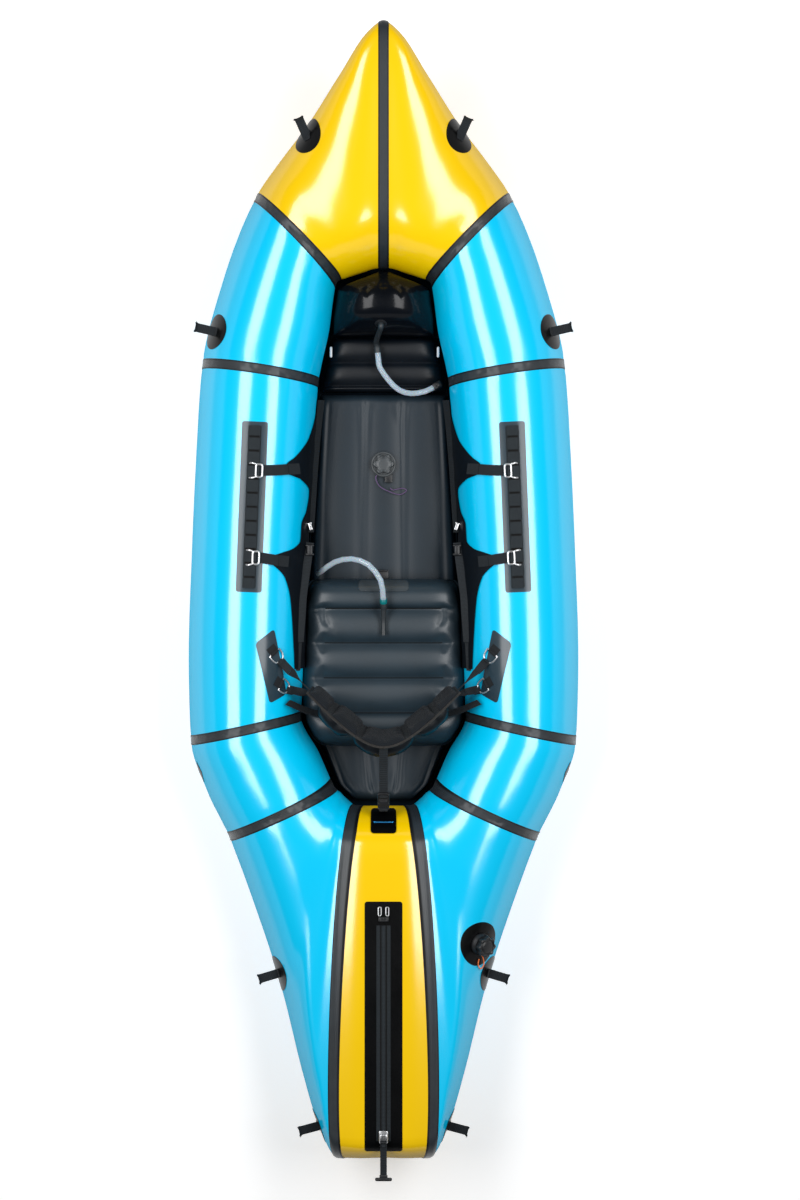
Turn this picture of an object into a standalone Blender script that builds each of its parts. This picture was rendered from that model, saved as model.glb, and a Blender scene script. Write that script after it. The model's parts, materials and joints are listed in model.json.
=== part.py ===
"""Packraft for one person: an inflated ring hull with a pointed bow and a long stern deck.

Units are metres. +Z is up and the bow points along +Y. The origin lies on the flat
underside of the floor sheet, on the centre plane, about half way along the hull.

Every station of the hull is a ring of points between an outer and an inner plan point.
The panels, patches and fittings all take their places from that one grid of rings.
"""

import math

import bmesh
import bpy
from mathutils import Matrix, Vector

# Hull sizes
HULL_LENGTH = 2.66
HULL_BEAM = 0.934
TUBE_HEIGHT = 0.28
HULL_CLOTH = 0.0006
FLOOR_CLOTH = 0.001
GAP = 0.0003
SEAM_TAPE_WIDTH = 0.024
SEAM_TAPE_THICKNESS = 0.0005
RING_SIDES = 20
TOP_SIDES = RING_SIDES // 2
OUTER_SIDES = 3

# Patches and webbing
PATCH_THICKNESS = 0.001
WEBBING_THICKNESS = 0.0016
TIE_PATCH_DIAMETER = 0.085
TIE_TAB_WIDTH = 0.019
TIE_TAB_LENGTH = 0.04
TIE_TAB_THICKNESS = 0.003
TIE_PAD_LENGTH = 0.02

DAISY_LENGTH = 0.4
DAISY_WIDTH = 0.06
DAISY_BAND_WIDTH = 0.027
DAISY_BAND_HEIGHT = 0.006
DAISY_PITCH = 0.034
DAISY_SLOT = 0.019
DAISY_SLOT_HEIGHT = 0.0039
DAISY_SLOTS = 11

HOOK_WIRE = 0.003
HOOK_REACH = 0.026

BACKREST_PATCH_LENGTH = 0.152
BACKREST_PATCH_WIDTH = 0.05
KEEPER_WIDTH = 0.022
KEEPER_LENGTH = 0.016
KEEPER_HEIGHT = 0.0085
RING_WIRE = 0.004
RING_WIDTH = 0.032
RING_REACH = 0.026
RING_CORNER = 0.0045

# Cockpit soft goods
MAT_THICKNESS = 0.062
MAT_GROOVE = 0.022
MAT_CLEARANCE = 0.002
BRACE_HEIGHT = 0.1
BRACE_RIB = 0.018
PILLOW_HEIGHT = 0.235
SEAT_THICKNESS = 0.098
SEAT_LENGTH = 0.4
SEAT_GROOVE = 0.02
BACKREST_HALF_WIDTH = 0.182
BACKREST_HEIGHT = 0.17
BACKREST_BOTTOM = 0.165
BACKREST_BAND = 0.005
BACKREST_PAD = 0.022
BACKREST_CELL = 0.034
STRAP_WIDTH = 0.02

# Hoses, stems and tethers
HOSE_DIAMETER = 0.0135
STEM_DIAMETER = 0.013
STEM_COLLAR = 0.0165
STEM_COLLAR_LENGTH = 0.014
STEM_EXIT = 0.013
STEM_BENDS = 5
TETHER_DIAMETER = 0.0026

# Valves
VALVE_PATCH_DIAMETER = 0.105
VALVE_BODY_DIAMETER = 0.05
VALVE_NECK_DIAMETER = 0.036
VALVE_BODY_RISE = 0.012
VALVE_BODY_DEPTH = 0.014
VALVE_NECK_RISE = 0.01
VALVE_CAP_DIAMETER = 0.054
VALVE_CAP_HEIGHT = 0.018
VALVE_CAP_LOBE = 0.003
VALVE_CAP_LOBES = 8
FLOOR_VALVE_DIAMETER = 0.062
FLOOR_VALVE_SPIGOT = 0.04
FLOOR_VALVE_DEPTH = 0.012
FLOOR_VALVE_RISE = 0.005
FLOOR_NECK_DIAMETER = 0.03
FLOOR_NECK_RISE = 0.007
FLOOR_CAP_DIAMETER = 0.05
FLOOR_CAP_HEIGHT = 0.013
FLOOR_CAP_LOBE = 0.005
FLOOR_CAP_LOBES = 6

# Cargo zip
ZIP_PATCH_WIDTH = 0.088
ZIP_PATCH_LENGTH = 0.58
ZIP_TAPE_WIDTH = 0.033
ZIP_TAPE_LENGTH = 0.5
ZIP_TAPE_THICKNESS = 0.0015
ZIP_TEETH_WIDTH = 0.007
ZIP_TEETH_HEIGHT = 0.0035
ZIP_SLIDER_WIDTH = 0.022
ZIP_SLIDER_LENGTH = 0.024
ZIP_SLIDER_HEIGHT = 0.009
ZIP_EAR_HEIGHT = 0.008
ZIP_EAR_THICKNESS = 0.003
ZIP_PIN_DIAMETER = 0.003
ZIP_PULL_LENGTH = 0.1
ZIP_PULL_WIDTH = 0.014
ZIP_PULL_THICKNESS = 0.003
ZIP_BAR_LENGTH = 0.038
ZIP_BAR_DIAMETER = 0.0075

# Rear strap and its buckle
BUCKLE_WIDTH = 0.028
BUCKLE_LENGTH = 0.046
BUCKLE_THICKNESS = 0.008
BUCKLE_SLOT = 0.0038
ANCHOR_WIDTH = 0.06
ANCHOR_LENGTH = 0.05
ANCHOR_BAR_DIAMETER = 0.004
ANCHOR_BAR_LENGTH = 0.044

HALF_LENGTH = HULL_LENGTH / 2
HALF_BEAM = HULL_BEAM / 2
FLOOR_TOP = FLOOR_CLOTH + GAP
TAPE_TOP = GAP + SEAM_TAPE_THICKNESS
TUBE_MIDDLE = FLOOR_TOP + TAPE_TOP + TUBE_HEIGHT / 2
PATCH_TOP = GAP + PATCH_THICKNESS

# One row for each station from the bow's centre plane to the stern's.
# Outer x and y, inner x and y: shares of half beam and half length.
# Lift at the inner and outer end, then height: shares of the tube height.
# Taper of the height, then rounding at the inner end, the outer end and the outer end below:
# shares of the section's length.
# Bulge: share of half beam. Rise: power that the lift follows.
STATION_SHARES = {
    "ridge": (0.0, 1.0, 0.0, 0.590, 0.04, 0.71, 1.07, 0.25, 0.28, 0.72, 0.72, 0.0, 1.8),
    "bow_a": (0.077, 0.982, 0.047, 0.588, 0.04, 0.70, 1.07, 0.25, 0.29, 0.71, 0.71, 0.0, 1.8),
    "bow_b": (0.218, 0.913, 0.090, 0.583, 0.04, 0.57, 1.06, 0.20, 0.31, 0.69, 0.69, 0.0, 1.8),
    "bow_c": (0.385, 0.832, 0.145, 0.577, 0.035, 0.34, 1.04, 0.12, 0.36, 0.64, 0.64, 0.0, 1.8),
    "bow_d": (0.529, 0.774, 0.197, 0.571, 0.03, 0.15, 1.01, 0.05, 0.43, 0.57, 0.57, 0.0, 1.8),
    "bow_seam": (0.656, 0.714, 0.236, 0.565, 0.02, 0.03, 1.0, 0.0, 0.5, 0.5, 0.5, 0.0, 1.0),
    "front_a": (0.827, 0.562, 0.282, 0.472, 0.0, 0.0, 1.0, 0.0, 0.5, 0.5, 0.5, 0.0, 1.0),
    "front_seam": (0.930, 0.415, 0.334, 0.383, 0.0, 0.0, 1.0, 0.0, 0.5, 0.5, 0.5, 0.0, 1.0),
    "mid_a": (0.961, 0.253, 0.366, 0.244, 0.0, 0.0, 1.0, 0.0, 0.5, 0.5, 0.5, 0.0, 1.0),
    "mid_b": (0.984, 0.075, 0.394, 0.075, 0.0, 0.0, 1.0, 0.0, 0.5, 0.5, 0.5, 0.0, 1.0),
    "mid_c": (1.0, -0.113, 0.411, -0.107, 0.0, 0.0, 1.0, 0.0, 0.5, 0.5, 0.5, 0.0, 1.0),
    "mid_seam": (0.989, -0.261, 0.422, -0.218, 0.0, 0.0, 1.0, 0.0, 0.5, 0.5, 0.5, 0.0, 1.0),
    "rear_a": (0.906, -0.352, 0.332, -0.284, 0.0, 0.0, 1.0, 0.0, 0.5, 0.5, 0.5, 0.0, 1.0),
    "rear_seam": (0.794, -0.434, 0.250, -0.347, 0.0, 0.0, 1.0, 0.0, 0.5, 0.5, 0.5, 0.0, 1.0),
    "stern_a": (0.625, -0.594, 0.221, -0.356, 0.0, 0.02, 0.99, 0.0, 0.42, 0.5, 0.5, 0.0, 1.0),
    "stern_b": (0.510, -0.716, 0.199, -0.364, 0.0, 0.05, 0.98, 0.05, 0.30, 0.5, 0.50, 0.02, 1.0),
    "stern_c": (0.400, -0.857, 0.183, -0.369, 0.0, 0.10, 0.97, 0.10, 0.20, 0.35, 0.48, 0.043, 1.0),
    "stern_d": (0.313, -0.950, 0.167, -0.374, 0.0, 0.14, 0.97, 0.15, 0.15, 0.2, 0.42, 0.050, 1.0),
    "deck_seam": (0.205, -1.003, 0.136, -0.3805, 0.0, 0.17, 0.98, 0.15, 0.12, 0.08, 0.38, 0.075, 1.0),
    "deck_a": (0.103, -1.003, 0.073, -0.3805, 0.0, 0.17, 1.05, 0.15, 0.12, 0.07, 0.36, 0.03, 1.0),
    "stern": (0.0, -1.002, 0.0, -0.3805, 0.0, 0.17, 1.05, 0.15, 0.12, 0.07, 0.36, 0.0, 1.0),
}
BULGE_POWER = 0.35
SEAM_NAMES = ("ridge", "bow_seam", "front_seam", "mid_seam", "rear_seam", "deck_seam")
LARGEST_TAPE_SHARE = 0.85

# The floor sheet's edge meets each station at this many sides past the tube's outer side.
FLOOR_EDGE_SIDES = {
    "ridge": 13, "bow_a": 13, "bow_b": 13, "bow_c": 13, "bow_d": 14, "bow_seam": 14,
    "stern_a": 14, "stern_b": 13, "stern_c": 12, "stern_d": 12, "deck_seam": 12,
    "deck_a": 12, "stern": 12,
}
BOTTOM_SIDE = 15
FLOOR_FLAT_SHARES = (0.9, 0.965)

# Tie-down loops: panel, station, share of the way to the next station, side of its ring,
# then the way that the tab points: degrees from +X towards +Y, and degrees upwards.
TIE_PLACES = {
    "bow": ("bow_panel_", "bow_c", 0.1, 1.7, 65.0, 20.0),
    "front": ("front_panel_", "front_a", 0.6, 1.8, 12.0, 10.0),
    "stern_mid": ("stern_panel_", "stern_a", 0.75, 1.1, -8.0, 5.0),
    "stern_rear": ("stern_panel_", "stern_d", 0.0, 0.6, -14.0, 5.0),
}

# Places on the hull: shares of half beam and half length, for the right-hand side.
# A turn is in degrees.
DAISY_SHARES = (0.660, 0.155)
DAISY_TURN = 2.2
HOOK_SLOTS = {"front": (2, 3), "rear": (8, 9)}
BACKREST_PATCH_SHARES = (0.561, -0.128)
BACKREST_PATCH_TURN = 16.0
UPPER_RING_SHARES = (0.552, -0.102)
UPPER_RING_TURN = 228.0
LOWER_RING_SHARES = (0.522, -0.158)
LOWER_RING_TURN = 204.0
MAIN_VALVE_SHARES = (0.486, -0.617)
FLOOR_VALVE_SHARE = 0.239
ZIP_PATCH_REAR_SHARE = 0.955
ZIP_REAR_SHARE = 0.925
ZIP_REST_SHARE = 0.91
ANCHOR_SHARE = 0.036
SIDE_PANEL_SHARES = (
    (0.345, 0.362), (0.386, 0.285), (0.452, 0.247), (0.4985, 0.235), (0.588, 0.2335),
    (0.588, 0.2145), (0.4985, 0.217), (0.417, 0.209), (0.383, 0.190), (0.398, 0.153),
    (0.420, 0.128), (0.426, 0.097), (0.466, 0.080), (0.603, 0.079), (0.603, 0.058),
    (0.551, 0.052), (0.493, 0.030), (0.468, -0.009), (0.443, -0.087), (0.449, -0.137),
    (0.418, -0.137), (0.386, -0.087), (0.35, -0.009), (0.33, 0.1), (0.3, 0.25),
    (0.28, 0.362),
)

# Shares used by the soft pieces
MAT_FRONT_SHARE = 0.371
MAT_CHAMBER_SHARES = (-1.0, -0.84, -0.29, 0.29, 0.84, 1.0)
MAT_ROW_SHARES = (0.0, 0.015, 0.045, 0.2, 0.36, 0.5, 0.64, 0.78, 0.86, 0.93, 0.985, 1.0)
BRACE_FRONT_SHARE = 0.468
PILLOW_REAR_SHARE = 0.474
PILLOW_WIDTH_SHARE = 0.262
PILLOW_COLUMN_SHARES = (-1.0, -0.97, -0.85, -0.6, -0.3, 0.3, 0.6, 0.85, 0.97, 1.0)
PILLOW_ROW_SHARES = (0.0, 0.04, 0.18, 0.4, 0.62, 0.84, 0.96, 1.0)
SEAT_FRONT_SHARE = 0.028
SEAT_SEAM_SHARES = (0.0, 0.2, 0.41, 0.62, 0.825, 1.0)
BACKREST_MIDDLE_SHARE = -0.269
BACKREST_SLOPE = 1.1
BACKREST_BEND_SHARE = 0.182
BRACE_STEM_SHARES = (-0.05, 0.1)
SEAT_STEM_SHARE = 0.335

COLOURS = {
    "yellow_cloth": (0.95, 0.62, 0.01, 1.0),
    "blue_cloth": (0.0, 0.48, 0.86, 1.0),
    "black_tape": (0.025, 0.03, 0.035, 1.0),
    "black_cloth": (0.02, 0.022, 0.026, 1.0),
    "black_webbing": (0.015, 0.016, 0.018, 1.0),
    "black_plastic": (0.02, 0.02, 0.022, 1.0),
    "grey_plastic": (0.12, 0.13, 0.13, 1.0),
    "steel": (0.7, 0.72, 0.74, 1.0),
    "clear_hose": (0.75, 0.82, 0.88, 1.0),
    "purple_cord": (0.12, 0.07, 0.16, 1.0),
    "orange_cord": (0.85, 0.18, 0.05, 1.0),
}
ROUGHNESS = {
    "yellow_cloth": 0.28, "blue_cloth": 0.28, "black_tape": 0.45, "black_cloth": 0.5,
    "black_webbing": 0.85, "black_plastic": 0.4, "grey_plastic": 0.45, "steel": 0.2,
    "clear_hose": 0.15, "purple_cord": 0.8, "orange_cord": 0.8,
}
SHARP_ANGLE = math.radians(35)


# Scene helpers

def clear_scene():
    for old in list(bpy.data.objects):
        bpy.data.objects.remove(old)


def make_collection(name):
    made = bpy.data.collections.new(name)
    bpy.context.scene.collection.children.link(made)
    return made


clear_scene()
PARTS = make_collection("packraft")
CUTTERS = make_collection("cutters")


def material(owner, colour):
    made = bpy.data.materials.new(owner + "_" + colour)
    made.use_nodes = True
    surface = made.node_tree.nodes["Principled BSDF"]
    surface.inputs["Base Color"].default_value = COLOURS[colour]
    surface.inputs["Roughness"].default_value = ROUGHNESS[colour]
    surface.inputs["Metallic"].default_value = 1.0 if colour == "steel" else 0.0
    made.diffuse_color = COLOURS[colour]
    return made


def link(name, data, colours, collection=PARTS):
    made = bpy.data.objects.new(name, data)
    collection.objects.link(made)
    for colour in colours:
        data.materials.append(material(name, colour))
    return made


def mesh_object(name, mesh, colours, collection=PARTS):
    """Turn a bmesh into an object whose faces all point out."""
    bmesh.ops.recalc_face_normals(mesh, faces=mesh.faces)
    data = bpy.data.meshes.new(name)
    mesh.to_mesh(data)
    mesh.free()
    made = link(name, data, colours, collection)
    data.shade_smooth()
    data.set_sharp_from_angle(angle=SHARP_ANGLE)
    return made


def hide_cutter(tool):
    for owner in list(tool.users_collection):
        owner.objects.unlink(tool)
    CUTTERS.objects.link(tool)
    tool.hide_render = True
    tool.display_type = "WIRE"


def combine(target, tool, operation):
    """Cut, join or intersect a piece with another body, which then only guides it."""
    step = target.modifiers.new(tool.name, "BOOLEAN")
    step.operation = operation
    step.solver = "EXACT"
    step.object = tool
    hide_cutter(tool)
    return target


# Body builders

def lofted(name, loops, colours, closed_profile=False, slots=None, diagonals=None):
    """Skin a row of equal closed loops. A closed profile joins the last loop to the first."""
    mesh = bmesh.new()
    rings = [[mesh.verts.new(point) for point in loop] for loop in loops]
    count = len(rings[0])
    pairs = len(rings) if closed_profile else len(rings) - 1
    for index in range(pairs):
        near = rings[index]
        far = rings[(index + 1) % len(rings)]
        flipped = diagonals is not None and diagonals[(index + 1) % len(rings)] < diagonals[index]
        slot = slots[index] if slots else 0
        for side in range(count):
            after = (side + 1) % count
            a, b, c, d = near[side], far[side], far[after], near[after]
            corners = ((a, b, d), (b, c, d)) if flipped else ((a, b, c), (a, c, d))
            for corner in corners:
                mesh.faces.new(corner).material_index = slot
    if not closed_profile:
        mesh.faces.new(rings[0])
        mesh.faces.new(rings[-1])
    return mesh_object(name, mesh, colours)


def box(name, size, frame, colours, middle=(0.0, 0.0, 0.0), collection=PARTS):
    mesh = bmesh.new()
    bmesh.ops.create_cube(mesh, size=1.0)
    place = frame @ Matrix.Translation(middle) @ Matrix.Diagonal((*size, 1.0))
    bmesh.ops.transform(mesh, matrix=place, verts=mesh.verts)
    return mesh_object(name, mesh, colours, collection)


def cylinder(name, radius, bottom, top, frame, colours, sides=24):
    mesh = bmesh.new()
    bmesh.ops.create_cone(
        mesh, cap_ends=True, segments=sides, radius1=radius, radius2=radius, depth=top - bottom
    )
    place = frame @ Matrix.Translation((0.0, 0.0, (top + bottom) / 2))
    bmesh.ops.transform(mesh, matrix=place, verts=mesh.verts)
    return mesh_object(name, mesh, colours)


def prism(name, outline, frame, bottom, top, colours=()):
    """Closed outline in the frame's XY plane, drawn out along its Z axis."""
    mesh = bmesh.new()
    low = [mesh.verts.new(frame @ Vector((x, y, bottom))) for x, y in outline]
    high = [mesh.verts.new(frame @ Vector((x, y, top))) for x, y in outline]
    mesh.faces.new(low)
    mesh.faces.new(list(reversed(high)))
    for index in range(len(outline)):
        after = (index + 1) % len(outline)
        mesh.faces.new((low[index], low[after], high[after], high[index]))
    return mesh_object(name, mesh, colours)


def tube(name, points, diameter, colour, detail=2, radii=None, cyclic=False):
    """Round cord, hose or wire along hand-placed points."""
    data = bpy.data.curves.new(name, "CURVE")
    data.dimensions = "3D"
    data.bevel_depth = diameter / 2
    data.bevel_resolution = detail
    data.use_fill_caps = not cyclic
    line = data.splines.new("POLY")
    line.points.add(len(points) - 1)
    line.use_cyclic_u = cyclic
    for index, point in enumerate(points):
        line.points[index].co = (*point, 1.0)
        line.points[index].radius = radii[index] if radii else 1.0
    return link(name, data, (colour,))


def ribbon(name, points, width, thickness, acrosses, colours):
    """Flat webbing along a path. Each point has its own direction across the webbing."""
    loops = []
    last = len(points) - 1
    for index, point in enumerate(points):
        along = points[min(index + 1, last)] - points[max(index - 1, 0)]
        across = acrosses[index].normalized()
        up = across.cross(along).normalized()
        side = across * width / 2
        rise = up * thickness / 2
        loops.append([point - side - rise, point + side - rise, point + side + rise, point - side + rise])
    return lofted(name, loops, colours)


def rounded_rectangle(width, length, radius, steps=3):
    """Outline with round corners, centred, its length along Y."""
    outline = []
    for index, (right, up) in enumerate(((1, 1), (-1, 1), (-1, -1), (1, -1))):
        for step in range(steps):
            angle = math.radians(90 * index + 90 * step / (steps - 1))
            x = right * (width / 2 - radius) + radius * math.cos(angle)
            y = up * (length / 2 - radius) + radius * math.sin(angle)
            outline.append((x, y))
    return outline


def circle(radius, sides):
    turns = [math.tau * side / sides for side in range(sides)]
    return [(radius * math.cos(turn), radius * math.sin(turn)) for turn in turns]


def lobed(radius, lobe, lobes, steps=4):
    """Round outline with shallow scallops between its lobes."""
    outline = []
    for step in range(lobes * steps):
        turn = math.tau * step / (lobes * steps)
        reach = radius - lobe / 2 + lobe / 2 * math.cos(lobes * turn)
        outline.append((reach * math.cos(turn), reach * math.sin(turn)))
    return outline


def smooth_route(points, steps):
    """Points along a smooth curve through the hand-placed ones."""
    ends = [2 * points[0] - points[1]] + list(points) + [2 * points[-1] - points[-2]]
    route = []
    for index in range(1, len(ends) - 2):
        a, b, c, d = ends[index - 1 : index + 3]
        for step in range(steps):
            t = step / steps
            bend = 2 * b + (c - a) * t + (2 * a - 5 * b + 4 * c - d) * t**2 + (3 * (b - c) + d - a) * t**3
            route.append(bend / 2)
    route.append(Vector(points[-1]))
    return route


# Hull grid

def end_height(share, inner, outer):
    """Height of a section at a share of its length: flat, with a quarter ellipse at each end."""
    if share > 1 - outer:
        return math.sqrt(max(0.0, 1 - ((share - 1 + outer) / outer) ** 2))
    if share < inner:
        return math.sqrt(max(0.0, 1 - ((inner - share) / inner) ** 2))
    return 1.0


def station_ring(name, hand):
    """Ring of hull points: side 0 lies outermost, then up, inwards and back below."""
    (outer_x, outer_y, inner_x, inner_y, lift_in, lift_out,
     height, taper, end_in, end_out, end_below, bulge, rise) = STATION_SHARES[name]
    outer = Vector((outer_x * HALF_BEAM, outer_y * HALF_LENGTH))
    inner = Vector((inner_x * HALF_BEAM, inner_y * HALF_LENGTH))
    ring = []
    for side in range(RING_SIDES):
        turn = math.tau * side / RING_SIDES
        share = (1 + math.cos(turn)) / 2
        share = min(max(share, 0.0), 1.0)
        plan = inner + (outer - inner) * share
        swell = bulge * HALF_BEAM * max(4 * share * (1 - share), 0.0) ** BULGE_POWER
        lift = (lift_in + (lift_out - lift_in) * share**rise) * TUBE_HEIGHT
        up = 1 if side <= TOP_SIDES else -1
        rounding = end_height(share, end_in, end_out if up > 0 else end_below)
        half = height * TUBE_HEIGHT / 2 * (1 - taper * share) * rounding
        ring.append(Vector((hand * (plan.x + swell), plan.y, TUBE_MIDDLE + lift + up * half)))
    return ring


def between(ring, other):
    """Ring half a tape's width from a seam towards its neighbour."""
    made = []
    for point, far in zip(ring, other):
        step = far - point
        share = min(SEAM_TAPE_WIDTH / 2 / step.length, LARGEST_TAPE_SHARE)
        made.append(point + step * share)
    return made


def hull_rings():
    """All rings round the boat, bow to stern on the left and back on the right."""
    names = list(STATION_SHARES)
    order = [(name, -1) for name in names] + [(name, 1) for name in reversed(names[1:-1])]
    plain = [station_ring(name, hand) for name, hand in order]
    rings, labels = [], []
    for index, (name, hand) in enumerate(order):
        seam = name in SEAM_NAMES
        if seam and index > 0:
            rings.append(between(plain[index], plain[index - 1]))
            labels.append((name, hand, "before"))
        rings.append(plain[index])
        labels.append((name, hand, "on"))
        if seam:
            rings.append(between(plain[index], plain[(index + 1) % len(plain)]))
            labels.append((name, hand, "after"))
    rings.append(between(plain[0], plain[-1]))
    labels.append(("ridge", 1, "before"))
    return rings, labels


RINGS, LABELS = hull_rings()


def ring_normals():
    normals = []
    count = len(RINGS)
    for index, ring in enumerate(RINGS):
        ahead = RINGS[(index + 1) % count]
        behind = RINGS[index - 1]
        row = []
        for side in range(RING_SIDES):
            along = ahead[side] - behind[side]
            around = ring[(side + 1) % RING_SIDES] - ring[side - 1]
            row.append(around.cross(along).normalized())
        normals.append(row)
    middle = sum(RINGS[0], Vector()) / RING_SIDES
    outward = RINGS[0][0] - middle
    if normals[0][0].dot(outward) < 0:
        normals = [[-normal for normal in row] for row in normals]
    return normals


NORMALS = ring_normals()


def lifted(index, height):
    """Ring at a height over the hull's outer face."""
    index %= len(RINGS)
    return [point + normal * height for point, normal in zip(RINGS[index], NORMALS[index])]


def shifted(index, towards, height):
    """Seam ring drawn back by half a gap, so that two panels don't touch."""
    ring = RINGS[index % len(RINGS)]
    other = RINGS[towards % len(RINGS)]
    made = []
    for side, (point, far) in enumerate(zip(ring, other)):
        step = (far - point).normalized() * GAP / 2
        made.append(point + step + NORMALS[index % len(RINGS)][side] * height)
    return made


def seam_index(name, hand):
    if name == "ridge":
        return 0 if hand < 0 else len(RINGS)
    return LABELS.index((name, hand, "on"))


PANELS = {}
for hand, word in ((-1, "left"), (1, "right")):
    seams = [seam_index(name, hand) for name in SEAM_NAMES]
    for number, label in enumerate(("bow", "front", "mid", "rear", "stern")):
        PANELS[label + "_panel_" + word] = tuple(sorted((seams[number], seams[number + 1])))
PANELS["stern_deck_panel"] = (seam_index("deck_seam", -1), seam_index("deck_seam", 1))


def hull_panel(name, colour, tape_first, tape_last):
    """Thin shell between two seams, with a tape over the seam at either end where it carries one."""
    first, last = PANELS[name]
    tape_top = TAPE_TOP
    loops, slots, order = [], [], []

    def add(loop, row, slot=0):
        loops.append(loop)
        order.append(row)
        slots.append(slot)

    if tape_first:
        add(shifted(first, first + 1, GAP), first, 1)
        add(lifted(first - 1, GAP), first - 1, 1)
        add(lifted(first - 1, tape_top), first - 1, 1)
        add(lifted(first, tape_top), first, 1)
        add(lifted(first + 1, tape_top), first + 1, 1)
    else:
        add(shifted(first, first + 1, 0.0), first)
    for row in range(first + 1, last):
        add(lifted(row, 0.0), row)
    if tape_last:
        slots[-1] = 1
        add(lifted(last - 1, tape_top), last - 1, 1)
        add(lifted(last, tape_top), last, 1)
        add(lifted(last + 1, tape_top), last + 1, 1)
        add(lifted(last + 1, GAP), last + 1, 1)
        add(shifted(last, last - 1, GAP), last)
    else:
        add(shifted(last, last - 1, 0.0), last)
    add(shifted(last, last - 1, -HULL_CLOTH), last)
    for row in range(last - 1, first, -1):
        add(lifted(row, -HULL_CLOTH), row)
    add(shifted(first, first + 1, -HULL_CLOTH), first)
    colours = (colour, "black_tape")
    return lofted(name, loops, colours, closed_profile=True, slots=slots, diagonals=order)


def build_hull():
    for word in ("left", "right"):
        left = word == "left"
        hull_panel("bow_panel_" + word, "yellow_cloth", True, left)
        hull_panel("front_panel_" + word, "blue_cloth", not left, left)
        hull_panel("mid_panel_" + word, "blue_cloth", not left, left)
        hull_panel("rear_panel_" + word, "blue_cloth", not left, left)
        hull_panel("stern_panel_" + word, "blue_cloth", not left, left)
    hull_panel("stern_deck_panel", "yellow_cloth", False, False)


# Finding places on the hull

def surface_height(x, y):
    """Height of the hull's upper face over a plan point."""
    best = None
    count = len(RINGS)
    for index in range(count):
        near, far = RINGS[index], RINGS[(index + 1) % count]
        for side in range(TOP_SIDES):
            corners = (near[side], far[side], far[side + 1], near[side + 1])
            for a, b, c in ((0, 1, 2), (0, 2, 3)):
                height = height_in_triangle(x, y, corners[a], corners[b], corners[c])
                if height is not None and (best is None or height > best):
                    best = height
    return best


def height_in_triangle(x, y, a, b, c):
    area = (b.x - a.x) * (c.y - a.y) - (c.x - a.x) * (b.y - a.y)
    if area == 0:
        return None
    u = ((x - a.x) * (c.y - a.y) - (c.x - a.x) * (y - a.y)) / area
    v = ((b.x - a.x) * (y - a.y) - (x - a.x) * (b.y - a.y)) / area
    if u < 0 or v < 0 or u + v > 1:
        return None
    return a.z + (b.z - a.z) * u + (c.z - a.z) * v


def surface_frame(x, y, turn, reach):
    """Frame on the hull: Z out of the cloth, Y along the given heading in plan."""
    left, right = surface_height(x - reach, y), surface_height(x + reach, y)
    rear, front = surface_height(x, y - reach), surface_height(x, y + reach)
    slope_x = Vector((2 * reach, 0.0, right - left))
    slope_y = Vector((0.0, 2 * reach, front - rear))
    up = slope_x.cross(slope_y).normalized()
    angle = math.radians(turn)
    heading = Vector((math.cos(angle), math.sin(angle), 0.0))
    along = (heading - up * heading.dot(up)).normalized()
    across = along.cross(up)
    frame = Matrix((across, along, up)).transposed().to_4x4()
    frame.translation = Vector((x, y, surface_height(x, y)))
    return frame


def inner_half_width(y):
    """Half the clear width between the tubes at their middle height."""
    points = [ring[TOP_SIDES] for ring, label in zip(RINGS, LABELS) if label[1] > 0]
    points.sort(key=lambda point: point.y)
    for low, high in zip(points, points[1:]):
        if low.y <= y <= high.y:
            share = (y - low.y) / (high.y - low.y)
            return low.x + (high.x - low.x) * share
    return points[0].x if y < points[0].y else points[-1].x


def skin_slab(name, panel, low, high, colours):
    """Slab that follows the facets of a panel's upper and outer sides between two heights."""
    first, last = PANELS[panel]
    mesh = bmesh.new()
    layers = []
    for height in (low, high):
        grid = []
        for row in range(first, last + 1):
            ring = lifted(row, height)
            grid.append([mesh.verts.new(ring[side]) for side in range(-OUTER_SIDES, TOP_SIDES + 1)])
        layers.append(grid)
    rows = last - first
    sides = OUTER_SIDES + TOP_SIDES
    for grid in layers:
        for row in range(rows):
            for side in range(sides):
                a, b = grid[row][side], grid[row + 1][side]
                c, d = grid[row + 1][side + 1], grid[row][side + 1]
                mesh.faces.new((a, b, c))
                mesh.faces.new((a, c, d))
    lower, upper = layers
    edge = [(row, 0) for row in range(rows)] + [(rows, side) for side in range(sides)]
    edge += [(row, sides) for row in range(rows, 0, -1)] + [(0, side) for side in range(sides, 0, -1)]
    for place, following in zip(edge, edge[1:] + edge[:1]):
        a, b = lower[place[0]][place[1]], lower[following[0]][following[1]]
        c, d = upper[following[0]][following[1]], upper[place[0]][place[1]]
        mesh.faces.new((a, b, c, d))
    return mesh_object(name, mesh, colours)


def skin(name, panel, outline, frame, low, high, colour, reach=TUBE_HEIGHT / 2):
    """Patch that lies on a panel inside an outline."""
    slab = skin_slab(name, panel, low, high, (colour,))
    guide = prism(name + "_outline", outline, frame, -reach, reach)
    return combine(slab, guide, "INTERSECT")


def mirrored(turn, hand):
    return turn if hand > 0 else 180.0 - turn


def hand_word(hand):
    return "left" if hand < 0 else "right"


# Floor sheet

def floor_edge():
    """Hull points that the floor sheet is held at, once round the boat."""
    edge = []
    for index, (name, hand, place) in enumerate(LABELS):
        side = FLOOR_EDGE_SIDES.get(name, BOTTOM_SIDE)
        edge.append(RINGS[index][side] - Vector((0.0, 0.0, TAPE_TOP + GAP)))
    return edge


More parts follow.
